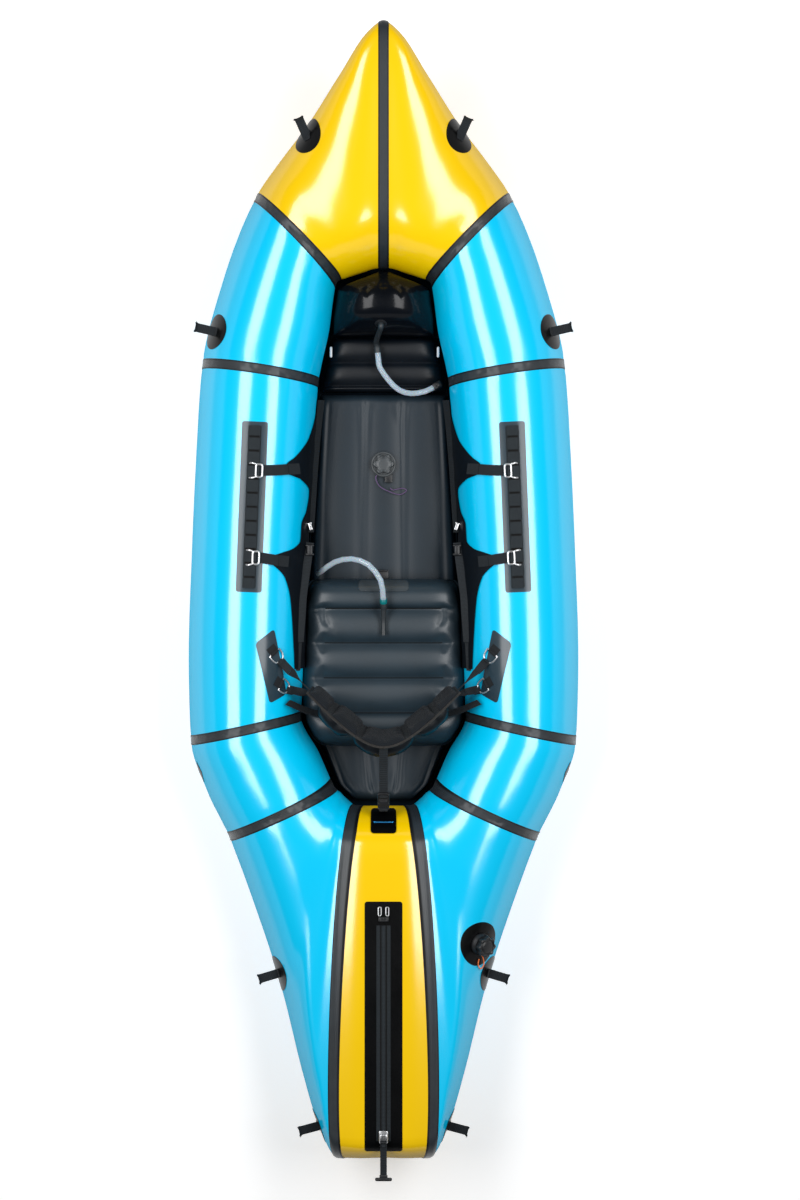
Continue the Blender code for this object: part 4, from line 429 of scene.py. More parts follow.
# Steel tinted blue: a painted reflection of the blue tubes, for the stern anchor's bar.
HULL_REFLECTION_METAL = steel_finish("blue_metal", (0.05, 0.38, 0.85, 1.0))
GREY_PLASTIC = plastic_finish("grey_plastic", (0.05, 0.057, 0.062), 0.3)
TEAL_PLASTIC = plastic_finish("teal_plastic", (0.0, 0.16, 0.17), 0.3)
WHITE_PLASTIC = plastic_finish("white_plastic", (0.75, 0.77, 0.8), 0.3)
STEEL = steel_finish("steel_wire", (0.74, 0.75, 0.77, 1.0))
HOSE = hose_finish("clear_hose", (0.66, 0.76, 0.86))
ORANGE_CORD = cord_finish("orange_cord", (0.95, 0.2, 0.03))
PURPLE_CORD = cord_finish("purple_cord", (0.11, 0.06, 0.16))


# Mesh helpers

SHARP_ANGLE = math.radians(40)
FINE_WELD = 0.00002
WELD = 0.0002


def finish_mesh(name, mesh, material, body="hull"):
    """Make an object of a bmesh, give it its finish, and let it ride on a body."""
    data = bpy.data.meshes.new(name)
    mesh.to_mesh(data)
    mesh.free()
    made = bpy.data.objects.new(name, data)
    bpy.context.scene.collection.objects.link(made)
    data.materials.append(material)
    data.shade_smooth()
    data.set_sharp_from_angle(angle=SHARP_ANGLE)
    if body:
        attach(made, body)
    return made


def formed_grid(columns, rows, place_of, size=(1.0, 1.0)):
    """Grid whose points go where place_of(u, v) says. Its UV map is in metres of cloth."""
    mesh = bmesh.new()
    bmesh.ops.create_grid(mesh, x_segments=columns, y_segments=rows, size=0.5)
    layer = mesh.loops.layers.uv.new("UVMap")
    for face in mesh.faces:
        for loop in face.loops:
            loop[layer].uv = ((loop.vert.co.x + 0.5) * size[0], (loop.vert.co.y + 0.5) * size[1])
    for vertex in mesh.verts:
        u, v = (min(max(value + 0.5, 0.0), 1.0) for value in vertex.co.xy)
        vertex.co = place_of(u, v)
    return mesh


def weld(mesh, distance=FINE_WELD):
    bmesh.ops.remove_doubles(mesh, verts=mesh.verts, dist=distance)
    bmesh.ops.recalc_face_normals(mesh, faces=mesh.faces)
    return mesh


def join(meshes):
    """Put several meshes into the first one."""
    whole = meshes[0]
    for other in meshes[1:]:
        data = bpy.data.meshes.new("part")
        other.to_mesh(data)
        other.free()
        whole.from_mesh(data)
        bpy.data.meshes.remove(data)
    return whole


def smooth_route(points, steps):
    """Points along a smooth curve through the given ones."""
    points = [Vector(point) for point in points]
    ends = [2 * points[0] - points[1]] + points + [2 * points[-1] - points[-2]]
    route = []
    for index in range(1, len(ends) - 2):
        a, b, c, d = ends[index - 1 : index + 3]
        for step in range(steps):
            t = step / steps
            square = 2 * a - 5 * b + 4 * c - d
            bend = 2 * b + (c - a) * t + square * t**2 + (3 * (b - c) + d - a) * t**3
            route.append(bend / 2)
    route.append(points[-1])
    return route


def tube(name, points, diameter, material, body="hull", radii=None, detail=6, cyclic=False):
    data = bpy.data.curves.new(name, "CURVE")
    data.dimensions = "3D"
    data.bevel_depth = diameter / 2
    data.bevel_resolution = detail
    data.use_fill_caps = not cyclic
    line = data.splines.new("POLY")
    line.points.add(len(points) - 1)
    line.use_cyclic_u = cyclic
    for index, point in enumerate(points):
        line.points[index].co = (*point, 1.0)
        line.points[index].radius = radii[index] if radii else 1.0
    line.use_smooth = True
    made = bpy.data.objects.new(name, data)
    bpy.context.scene.collection.objects.link(made)
    data.materials.append(material)
    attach(made, body)
    return made


def route_length(points):
    return sum((b - a).length for a, b in zip(points, points[1:]))


def thicken(mesh, thickness):
    """Give an open sheet a wall below it."""
    bmesh.ops.recalc_face_normals(mesh, faces=mesh.faces)
    bmesh.ops.solidify(mesh, geom=mesh.faces[:], thickness=thickness)
    bmesh.ops.recalc_face_normals(mesh, faces=mesh.faces)


def strap(name, points, width, thickness, acrosses, material, body="hull", steps=6, slant=0.0):
    """Flat webbing along a smooth path, with thin selvedges; slant cuts its far end."""
    route = smooth_route(points, steps)
    turns = smooth_route(acrosses, steps)
    last = len(route) - 1
    length = route_length(route)

    def place_of(u, v):
        place = v * (last - slant * steps * (1 - u))
        low = min(int(place), last - 1)
        share = place - low
        point = route[low].lerp(route[low + 1], share)
        across = turns[low].lerp(turns[low + 1], share).normalized()
        along = (route[low + 1] - route[low]).normalized()
        up = across.cross(along).normalized()
        crown = math.sqrt(max(0.0, 1 - (2 * u - 1) ** 6)) - 1
        return point + across * (u - 0.5) * width + up * (thickness / 2 + crown * thickness * 0.25)

    mesh = formed_grid(8, last, place_of, (width, length))
    thicken(mesh, thickness)
    return finish_mesh(name, mesh, material, body)


# Hull shape

def knots():
    """Distance along the hull at each station, which the smooth shape is measured on."""
    places = [0.0]
    for near, far in zip(ROWS, ROWS[1:]):
        outer = math.hypot((far[0] - near[0]) * HALF_BEAM, (far[1] - near[1]) * HALF_LENGTH)
        inner = math.hypot((far[2] - near[2]) * HALF_BEAM, (far[3] - near[3]) * HALF_LENGTH)
        places.append(places[-1] + max((outer + inner) / 2, 0.01))
    return places


KNOTS = knots()
MIRRORED_VALUES = (0, 2, 11)
RIDGE_FLAT_VALUES = (1, 5)


def slope_at(station, value):
    """Slope of one column of the table at a station."""
    if station == 0:
        if value in RIDGE_FLAT_VALUES:
            return 0.0
        return (ROWS[1][value] - ROWS[0][value]) / (KNOTS[1] - KNOTS[0])
    if station == LAST_STATION:
        if value in MIRRORED_VALUES:
            return (ROWS[-1][value] - ROWS[-2][value]) / (KNOTS[-1] - KNOTS[-2])
        return 0.0
    before = (ROWS[station][value] - ROWS[station - 1][value]) / (KNOTS[station] - KNOTS[station - 1])
    after = (ROWS[station + 1][value] - ROWS[station][value]) / (KNOTS[station + 1] - KNOTS[station])
    if before * after <= 0:
        return 0.0
    return 2 * before * after / (before + after)


SLOPES = [[slope_at(station, value) for value in range(len(ROWS[0]))] for station in range(len(ROWS))]


def station_values(place):
    """Row of the table at a place between stations."""
    low = min(max(int(place), 0), LAST_STATION - 1)
    t = place - low
    span = KNOTS[low + 1] - KNOTS[low]
    values = []
    for near, far, slope_near, slope_far in zip(ROWS[low], ROWS[low + 1], SLOPES[low], SLOPES[low + 1]):
        near_part = near * (1 + 2 * t) * (1 - t) ** 2 + slope_near * span * t * (1 - t) ** 2
        far_part = far * t * t * (3 - 2 * t) + slope_far * span * t * t * (t - 1)
        values.append(near_part + far_part)
    return values


def end_height(share, inner, outer):
    if share > 1 - outer:
        return math.sqrt(max(0.0, 1 - ((share - 1 + outer) / outer) ** 2))
    if share < inner:
        return math.sqrt(max(0.0, 1 - ((inner - share) / inner) ** 2))
    return 1.0


def bare_hull(place, turn, hand):
    """Point of the smooth hull. Place: station number. Turn: 0 outermost, a half turn innermost."""
    (outer_x, outer_y, inner_x, inner_y, lift_in, lift_out,
     height, taper, end_in, end_out, end_below, bulge, rise) = station_values(place)
    share = min(max((1 + math.cos(turn)) / 2, 0.0), 1.0)
    up = 1 if math.sin(turn) >= 0 else -1
    x = (inner_x + (outer_x - inner_x) * share) * HALF_BEAM
    y = (inner_y + (outer_y - inner_y) * share) * HALF_LENGTH
    x += max(bulge, 0.0) * HALF_BEAM * max(4 * share * (1 - share), 0.0) ** BULGE_POWER
    lift = (lift_in + (lift_out - lift_in) * share**rise) * TUBE_HEIGHT
    rounding = end_height(share, end_in, end_out if up > 0 else end_below)
    half = height * TUBE_HEIGHT / 2 * (1 - taper * share) * rounding
    return Vector((hand * x, y, TUBE_MIDDLE + lift + up * half))


SMALL_PLACE = 0.01
SMALL_TURN = 0.01


def hull_normal(place, turn, hand):
    low, high = max(place - SMALL_PLACE, 0.0), min(place + SMALL_PLACE, LAST_STATION)
    along = bare_hull(high, turn, hand) - bare_hull(low, turn, hand)
    around = bare_hull(place, turn + SMALL_TURN, hand) - bare_hull(place, turn - SMALL_TURN, hand)
    return around.cross(along).normalized() * hand


SEAM_PLACES = [STATIONS.index(name) for name in ("bow_seam", "front_seam", "mid_seam", "rear_seam")]
DECK_SEAM_PLACE = STATIONS.index("deck_seam")
PUCKER_REACH = 0.05
PUCKER_DEPTH = 0.0016
PINCH_DEPTH = 0.0018
PINCH_REACH = 0.016


def seam_relief(place, turn, hand):
    """Depth of the pinch and the small puckers that the seams pull into the cloth."""
    relief = 0.0
    for seam in SEAM_PLACES:
        if abs(place - seam) > 1.0:
            continue
        away = (bare_hull(place, turn, hand) - bare_hull(seam, turn, hand)).length
        relief -= PINCH_DEPTH * math.exp(-((away / PINCH_REACH) ** 2))
        if away < PUCKER_REACH * 2.5:
            ruffle = noise.noise(Vector((turn * 9.0, seam * 7.3, hand * 2.0 + (place > seam) * 5.0)))
            inner = 0.35 + 0.65 * (1 - math.cos(turn)) / 2
            relief += PUCKER_DEPTH * ruffle * inner * math.exp(-away / PUCKER_REACH)
    return relief


def hull_point(place, turn, hand, lift=0.0):
    height = seam_relief(place, turn, hand) + lift
    return bare_hull(place, turn, hand) + hull_normal(place, turn, hand) * height


ROUND_STEPS = 96
PANEL_STEP = 0.012


def build_panel(first, last, hand):
    """One cloth panel of the tube between two seams."""
    reach = KNOTS[last] - KNOTS[first]
    rows = max(6, round(reach / PANEL_STEP))

    def place_of(u, v):
        return hull_point(first + (last - first) * v, math.tau * u, hand)

    return weld(formed_grid(ROUND_STEPS, rows, place_of, (math.pi * TUBE_HEIGHT, reach)))


def build_hull():
    """All panels of the tubes. Gives their shapes, on which other pieces are laid."""
    meshes = []
    for hand, word in HANDS:
        for label, (first, last) in PANEL_SEAMS.items():
            mesh = build_panel(STATIONS.index(first), STATIONS.index(last), hand)
            meshes.append((label + "_panel_" + word, mesh, YELLOW if label == "bow" else BLUE))
    halves = [build_panel(DECK_SEAM_PLACE, LAST_STATION, hand) for hand, word in HANDS]
    meshes.append(("stern_deck_panel", weld(join(halves), WELD), YELLOW))
    shapes = []
    for node, mesh, material in meshes:
        face_out(mesh)
        shapes.append(BVHTree.FromBMesh(mesh))
        made = finish_mesh("hull_" + node, mesh, material)
        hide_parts(node)
    return shapes


def face_out(mesh):
    """Turn all faces away from the middle of the tube that they wrap."""
    mesh.faces.ensure_lookup_table()
    mesh.normal_update()
    top = max(mesh.faces, key=lambda face: face.calc_center_median().z)
    if top.normal.z < 0:
        bmesh.ops.reverse_faces(mesh, faces=mesh.faces)


HULL_SHAPES = build_hull()


def seam_tape(name, seam, hand):
    """Welded tape round the tube over a seam."""
    half = SEAM_TAPE_WIDTH / 2

    def place_of(u, v):
        turn = math.tau * v
        side = (2 * u - 1) * half
        step = 0.05 if side >= 0 else -0.05
        if not 0 <= seam + step <= LAST_STATION:
            step = -step
        length = (bare_hull(seam + step, turn, hand) - bare_hull(seam, turn, hand)).length / abs(step)
        other = hand
        place = seam + side / max(length, 0.02)
        if place < 0:
            place, other = -place, -hand
        edge = abs(2 * u - 1)
        rise = TAPE_LIFT if edge < 0.9 else TAPE_LIFT * 0.3
        return hull_point(min(place, LAST_STATION), turn, other, rise)

    mesh = formed_grid(10, ROUND_STEPS * 2, place_of, (SEAM_TAPE_WIDTH, math.pi * TUBE_HEIGHT))
    weld(mesh)
    face_out(mesh)
    finish_mesh(name, mesh, TAPE)


def build_tapes():
    seam_tape("seam_tape_ridge", 0, 1)
    for hand, word in HANDS:
        for label in ("bow_seam", "front_seam", "mid_seam", "rear_seam", "deck_seam"):
            seam_tape("seam_tape_" + label[:-5] + "_" + word, STATIONS.index(label), hand)


build_tapes()


# Finding places on the hull

DOWN = Vector((0.0, 0.0, -1.0))
ABOVE = 1.0


def closest(hits):
    """The nearest of several hits, as its point, normal and distance."""
    best = None
    for point, normal, _, distance in hits:
        if point is not None and (best is None or distance < best[2]):
            best = (point, normal, distance)
    return best


def cast(origin, direction):
    """Nearest point of the hull along a ray, with its normal."""
    return closest(shape.ray_cast(origin, direction) for shape in HULL_SHAPES)


def from_above(x, y):
    """Point of the hull seen from above, with its normal."""
    return cast(Vector((x, y, ABOVE)), DOWN)


def nearest(origin):
    return closest(shape.find_nearest(origin) for shape in HULL_SHAPES)


def hull_frame(x, y, heading, reach=0.02):
    """Frame on the hull's upper face: Z out of the cloth, Y along a heading in degrees."""
    def height(a, b):
        return from_above(a, b)[0].z

    slope_x = Vector((2 * reach, 0.0, height(x + reach, y) - height(x - reach, y)))
    slope_y = Vector((0.0, 2 * reach, height(x, y + reach) - height(x, y - reach)))
    return frame_from(Vector((x, y, height(x, y))), slope_x.cross(slope_y).normalized(), heading)


def frame_of_axes(across, along, up, place):
    made = Matrix((across, along, up)).transposed().to_4x4()
    made.translation = place
    return made


def frame_from(place, up, heading):
    """Frame at a place: Z along the given way, Y towards a heading in degrees."""
    angle = math.radians(heading)
    ahead = Vector((math.cos(angle), math.sin(angle), 0.0))
    along = (ahead - up * ahead.dot(up)).normalized()
    return frame_of_axes(along.cross(up), along, up, place)


def box_middle(node):
    return tuple((low + high) / 2 for low, high in zip(*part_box(node)))


def upward(way):
    """The same way, or its opposite where it points down."""
    return -way if way.z < 0 else way


def rounded_outline(width, length, radius, steps=5):
    outline = []
    for index, (right, up) in enumerate(((1, 1), (-1, 1), (-1, -1), (1, -1))):
        for step in range(steps):
            angle = math.radians(90 * index + 90 * step / (steps - 1))
            x = right * (width / 2 - radius) + radius * math.cos(angle)
            outline.append((x, up * (length / 2 - radius) + radius * math.sin(angle)))
    return outline


def round_outline(radius, steps=40):
    turns = [math.tau * step / steps for step in range(steps)]
    return [(radius * math.cos(turn), radius * math.sin(turn)) for turn in turns]


def flat_sheet(outline, spacing):
    """Flat outline cut into small squares, so that it can be laid on a round surface."""
    mesh = bmesh.new()
    mesh.faces.new([mesh.verts.new((x, y, 0.0)) for x, y in outline])
    for axis in (0, 1):
        low = min(point[axis] for point in outline)
        high = max(point[axis] for point in outline)
        count = max(1, round((high - low) / spacing))
        for cut in range(1, count):
            place = [0.0, 0.0, 0.0]
            place[axis] = low + (high - low) * cut / count
            normal = [0.0, 0.0, 0.0]
            normal[axis] = 1.0
            everything = mesh.verts[:] + mesh.edges[:] + mesh.faces[:]
            bmesh.ops.bisect_plane(mesh, geom=everything, plane_co=place, plane_no=normal)
    layer = mesh.loops.layers.uv.new("UVMap")
    for face in mesh.faces:
        for loop in face.loops:
            loop[layer].uv = (loop.vert.co.x, loop.vert.co.y)
    return mesh


LAY_HEIGHT = 0.12
LAY_LIMIT = 0.3


def lay(mesh, place, lift):
    """Lay a flat sheet in a frame on the hull, at a height over the cloth."""
    turn = place.to_3x3()
    up = (turn @ Vector((0.0, 0.0, 1.0))).normalized()
    for vertex in mesh.verts:
        height = vertex.co.z
        origin = place @ Vector((vertex.co.x, vertex.co.y, 0.0)) + up * LAY_HEIGHT
        hit = cast(origin, -up)
        if hit is None or hit[2] > LAY_LIMIT:
            hit = nearest(place @ Vector((vertex.co.x, vertex.co.y, 0.0)))
        vertex.co = hit[0] + hit[1].normalized() * (lift + height)
    return mesh


PATCH_THICKNESS = 0.001
PATCH_LIFT = 0.0013
PATCH_SPACING = 0.008


def patch(name, outline, place, material=PATCH, lift=PATCH_LIFT, spacing=PATCH_SPACING):
    """Cloth welded on the hull, cut to an outline."""
    mesh = lay(flat_sheet(outline, spacing), place, lift)
    thicken(mesh, PATCH_THICKNESS)
    made = finish_mesh(name, mesh, material)
    return made


# Floor sheet

FLOOR_EDGE_SIDES = {
    "ridge": 13, "bow_a": 13, "bow_b": 13, "bow_c": 13, "bow_d": 14, "bow_seam": 14,
    "stern_a": 14, "stern_b": 13, "stern_c": 12, "stern_d": 12, "deck_seam": 12,
    "deck_a": 12, "stern": 12,
}
BOTTOM_SIDE = 15
FLOOR_MIDDLE = Vector((0.0, 0.15, 0.0))
FLOOR_THICKNESS = 0.0006
FLOOR_WELD = 0.0001
FLOOR_RIPPLE = 0.0004
FLOOR_RISE_SHARE = 0.93


def floor_turn(place):
    low = min(int(place), LAST_STATION - 1)
    near = FLOOR_EDGE_SIDES.get(STATIONS[low], BOTTOM_SIDE)
    far = FLOOR_EDGE_SIDES.get(STATIONS[low + 1], BOTTOM_SIDE)
    return (near + (far - near) * (place - low)) / RING_SIDES * math.tau


def build_floor_sheet():
    """Bottom cloth stretched between the tubes, with a welded edge."""
    def place_of(u, v):
        half = u * 2 if u <= 0.5 else (1 - u) * 2
        hand = 1 if u <= 0.5 else -1
        place = half * LAST_STATION
        edge = bare_hull(place, floor_turn(place), hand) - Vector((0.0, 0.0, TAPE_TOP * 1.5))
        point = FLOOR_MIDDLE.lerp(Vector((edge.x, edge.y, 0.0)), v)
        rise = max(0.0, (v - FLOOR_RISE_SHARE) / (1 - FLOOR_RISE_SHARE)) ** 1.5
        point.z = max(edge.z, FLOOR_THICKNESS) * rise
        waves = math.sin(point.y * 41.0) * math.sin(point.x * 37.0) * math.sin(math.pi * v)
        point.z += FLOOR_RIPPLE * abs(waves) + FLOOR_THICKNESS
        return point

    mesh = formed_grid(200, 24, place_of, (4.0, 0.5))
    weld(mesh, FLOOR_WELD)
    thicken(mesh, FLOOR_THICKNESS)
    area = sum(face.calc_area() for face in mesh.faces) / 2
    made = finish_mesh("floor_cloth_sheet", mesh, FLOOR)
    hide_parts("hull_floor_sheet")


build_floor_sheet()


# Cords

JOINTS = {joint["name"]: joint for joint in frame["joints"]}


def free_cord(name, node, points, diameter, material, slot, stiffness):
    """Hose or tether that lies free, over the solid that stands for it."""
    made = tube(name, points, diameter, material)
    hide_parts(node)
    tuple(points[0])
    route_length(points)


def joint_place(name, heading):
    joint = JOINTS[name]
    return frame_from(Vector(joint["pos_m"]), Vector(joint["axis"]), heading)


MAIN_VALVE = joint_place("main_valve_cap_turn", 90.0)
FLOOR_VALVE = joint_place("floor_valve_cap_turn", 90.0)


BRACE_HOSE = smooth_route(BRACE_HOSE_ROUTE, 2)
SEAT_HOSE = smooth_route(SEAT_HOSE_ROUTE, 2)
FLOOR_TETHER = smooth_route(FLOOR_TETHER_ROUTE, 3)
MAIN_TETHER = [MAIN_VALVE @ point for point in smooth_route(MAIN_TETHER_ROUTE, 3)]


def build_cords():
    hose = (HOSE_DIAMETER, HOSE, "clear_hose", "medium")
    free_cord("foot_brace_clear_hose", "foot_brace_hose", BRACE_HOSE, *hose)
    free_cord("seat_clear_hose", "seat_hose", SEAT_HOSE, *hose)
    free_cord("floor_cap_tether", "floor_valve_tether", FLOOR_TETHER, TETHER_DIAMETER, PURPLE_CORD,
              "cord", "limp")
    free_cord("main_cap_tether", "main_valve_tether", MAIN_TETHER, TETHER_DIAMETER, ORANGE_CORD,
              "cord", "limp")


build_cords()


# Solid helpers

def rounded_block(size, radius, place=Matrix(), middle=(0.0, 0.0, 0.0)):
    """Block with rounded edges, in a frame."""
    mesh = bmesh.new()
    bmesh.ops.create_cube(mesh, size=1.0)
    bmesh.ops.scale(mesh, vec=size, verts=mesh.verts)
    bmesh.ops.bevel(mesh, geom=mesh.edges[:], offset=radius, segments=3, affect="EDGES",
                    profile=0.5, material=-1)
    bmesh.ops.translate(mesh, vec=middle, verts=mesh.verts)
    bmesh.ops.transform(mesh, matrix=place, verts=mesh.verts)
    bmesh.ops.recalc_face_normals(mesh, faces=mesh.faces)
    return mesh


def blocks(place, *rows):
    """Rounded blocks in one frame, put together. Each row: size, radius of the edges, middle."""
    return join([rounded_block(size, radius, place, middle) for size, radius, middle in rows])


def turned(profile, place, lobe=0.0, lobes=0, sides=96):
    """Turned shape. The profile gives radius, height and how far the lobes reach there."""
    last = len(profile) - 1

    def place_of(u, v):
        low = min(int(v * last + 1e-6), last - 1)
        share = v * last - low
        near, far = profile[low], profile[low + 1]
        radius = near[0] + (far[0] - near[0]) * share
        height = near[1] + (far[1] - near[1]) * share
        reach = near[2] + (far[2] - near[2]) * share if len(near) > 2 else 0.0
        turn = math.tau * u
        if lobes:
            radius -= lobe * reach * (1 - math.cos(lobes * turn)) / 2
        return place @ Vector((radius * math.cos(turn), radius * math.sin(turn), height))

    return weld(formed_grid(sides, last, place_of))


def wire(name, points, diameter, place, material, body, cyclic=True, detail=4):
    return tube(name, [place @ Vector(point) for point in points], diameter, material, body,
                detail=detail, cyclic=cyclic)


def rounded_loop(width, length, radius, steps=5):
    return [(x, y, 0.0) for x, y in rounded_outline(width, length, radius, steps)]


# Cushions

CLOTH_FRAMES = 20
CLOTH_STIFFNESS = 15.0
CLOTH_BENDING = 0.5
CUSHION_CLEARANCE = 0.003
HELD = "held"


def cushion(columns, rows, top, bottom, held, size):
    """Closed cushion of an upper and a lower sheet, with the places that seams hold marked."""
    sheets = []
    for number, place_of in enumerate((top, bottom)):
        sheet = formed_grid(columns, rows, lambda u, v: Vector((u, v, 0.0)), size)
        layer = sheet.verts.layers.float.new(HELD)
        for vertex in sheet.verts:
            u, v = vertex.co.x, vertex.co.y
            vertex[layer] = held(u, v, number)
            vertex.co = place_of(u, v)
        if number:
            bmesh.ops.reverse_faces(sheet, faces=sheet.faces)
        sheets.append(sheet)
    return weld(join(sheets), WELD)


def inflate(made, pressure, grow, limit):
    """Swell a cushion by a cloth simulation that holds its seams, and limit how far its cloth moves."""
    rest = [vertex.co.copy() for vertex in made.data.vertices]
    group = made.vertex_groups.new(name=HELD)
    for index, value in enumerate(made.data.attributes[HELD].data):
        if value.value > 0:
            group.add([index], value.value, "REPLACE")
    modifier = made.modifiers.new("cloth", "CLOTH")
    settings = modifier.settings
    settings.vertex_group_mass = HELD
    settings.use_pressure = True
    settings.uniform_pressure_force = pressure
    settings.effector_weights.gravity = 0
    settings.shrink_min = -grow
    settings.tension_stiffness = CLOTH_STIFFNESS
    settings.compression_stiffness = CLOTH_STIFFNESS
    settings.bending_stiffness = CLOTH_BENDING
    settings.quality = 6
    modifier.collision_settings.use_collision = False
    modifier.point_cache.frame_end = CLOTH_FRAMES
    scene = bpy.context.scene
    for number in range(1, CLOTH_FRAMES + 1):
        scene.frame_set(number)
    depsgraph = bpy.context.evaluated_depsgraph_get()
    swollen = [vertex.co.copy() for vertex in made.evaluated_get(depsgraph).data.vertices]
    made.modifiers.remove(modifier)
    made.vertex_groups.clear()
    for vertex, before, after in zip(made.data.vertices, rest, swollen):
        move = after - before
        if move.length > limit:
            move *= limit / move.length
        vertex.co = before + move
    scene.frame_set(1)


def soften(made):
    smooth = made.modifiers.new("smooth", "SUBSURF")
    smooth.levels = 1
    smooth.render_levels = 1


def cushion_piece(name, node, mesh, material, pressure, grow, limit, body="hull"):
    made = finish_mesh(name, mesh, material, body=None)
    inflate(made, pressure, grow, limit)
    made.data.shade_smooth()
    soften(made)
    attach(made, body)
    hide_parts(node)
    return made


def inner_half_width(y):
    """Half of the open width between the tubes at a place along the hull."""
    hit = cast(Vector((0.0, y, TUBE_MIDDLE)), Vector((1.0, 0.0, 0.0)))
    return hit[0].x


def open_widths(box, rows, widest=1.0):
    """Half widths for the rows of a cushion between the tubes, with a clearance."""
    rear, front = box[0][1], box[1][1]
    return [min(inner_half_width(rear + (front - rear) * row / rows) - CUSHION_CLEARANCE, widest)
            for row in range(rows + 1)]


def chamber(value, edges):
    """0 on a seam between two chambers, 1 on a chamber's crest."""
    for low, high in zip(edges, edges[1:]):
        if low <= value <= high:
            share = (value - low) / (high - low)
            return math.sqrt(max(0.0, 1 - (2 * share - 1) ** 2))
    return 0.0


def near_seam(value, edges, reach):
    return any(abs(value - edge) < reach for edge in edges)


MAT_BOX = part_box("floor_mat")
MAT_BASE = MAT_BOX[0][2]
MAT_TOP = MAT_BOX[1][2]
MAT_HEIGHT = MAT_TOP - MAT_BASE
MAT_SEAM_SHARES = (-1.0, -0.84, -0.28, 0.27, 0.84, 1.0)
MAT_GROOVE = 0.009
MAT_WAIST_SHARE = 0.4
MAT_CREST_ROOM = 0.004
MAT_SEAM_REACH = 0.019
MAT_GRID = (56, 120)


def build_mat():
    """Floor mat: long chambers that end in gathers at both ends."""
    rear, front = MAT_BOX[0][1], MAT_BOX[1][1]
    columns, rows = MAT_GRID
    widths = open_widths(MAT_BOX, rows)

    def plan(u, v):
        y = rear + (front - rear) * v
        return (2 * u - 1) * widths[round(v * rows)], y

    def seam_reach(v):
        return min(max((min(v, 1 - v) - 0.012) / 0.02, 0.0), 1.0)

    def top(u, v):
        x, y = plan(u, v)
        share = 2 * u - 1
        groove = MAT_GROOVE * (1 - chamber(share, MAT_SEAM_SHARES)) * seam_reach(v)
        end = math.sqrt(max(0.0, 1 - (1 - min(min(v, 1 - v) / 0.03, 1.0)) ** 2))
        side = math.sqrt(max(0.0, 1 - abs(share) ** 16))
        height = MAT_WAIST_SHARE + (1 - MAT_WAIST_SHARE) * end * side
        return Vector((x, y, MAT_BASE + MAT_HEIGHT * height - groove * end - MAT_CREST_ROOM * end))

    def bottom(u, v):
        x, y = plan(u, v)
        share = 2 * u - 1
        rim = max(abs(share) ** 16, abs(2 * v - 1) ** 30)
        return Vector((x, y, MAT_BASE + MAT_HEIGHT * MAT_WAIST_SHARE * rim))

    def held(u, v, number):
        if number:
            return 1.0
        seam = near_seam(2 * u - 1, MAT_SEAM_SHARES[1:-1], MAT_SEAM_REACH) and seam_reach(v) > 0.6
        return 1.0 if seam else 0.0

    mesh = cushion(columns, rows, top, bottom, held, (0.38, 1.0))
    cushion_piece("floor_mat_cushion", "floor_mat", mesh, MAT_CLOTH,
                  pressure=0.6, grow=0.0, limit=0.003)


SEAT_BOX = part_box("seat_cushion")
SEAT_SEAM_SHARES = (0.0, 0.2, 0.41, 0.62, 0.825, 1.0)
SEAT_GROOVE = 0.02
SEAT_GATHER = 0.0025
SEAM_SIDE_SHARE = 0.77
SEAT_WAIST_SHARE = 0.42
SEAT_SEAM_REACH = 0.375
SEAT_SEAM_HALF_WIDTH = 0.0068
SEAT_CREST_ROOM = 0.004
SEAT_CORNER = 0.012
SEAT_GRID = (68, 76)
SEAM_SHADE_LINE_WIDTH = 0.0026


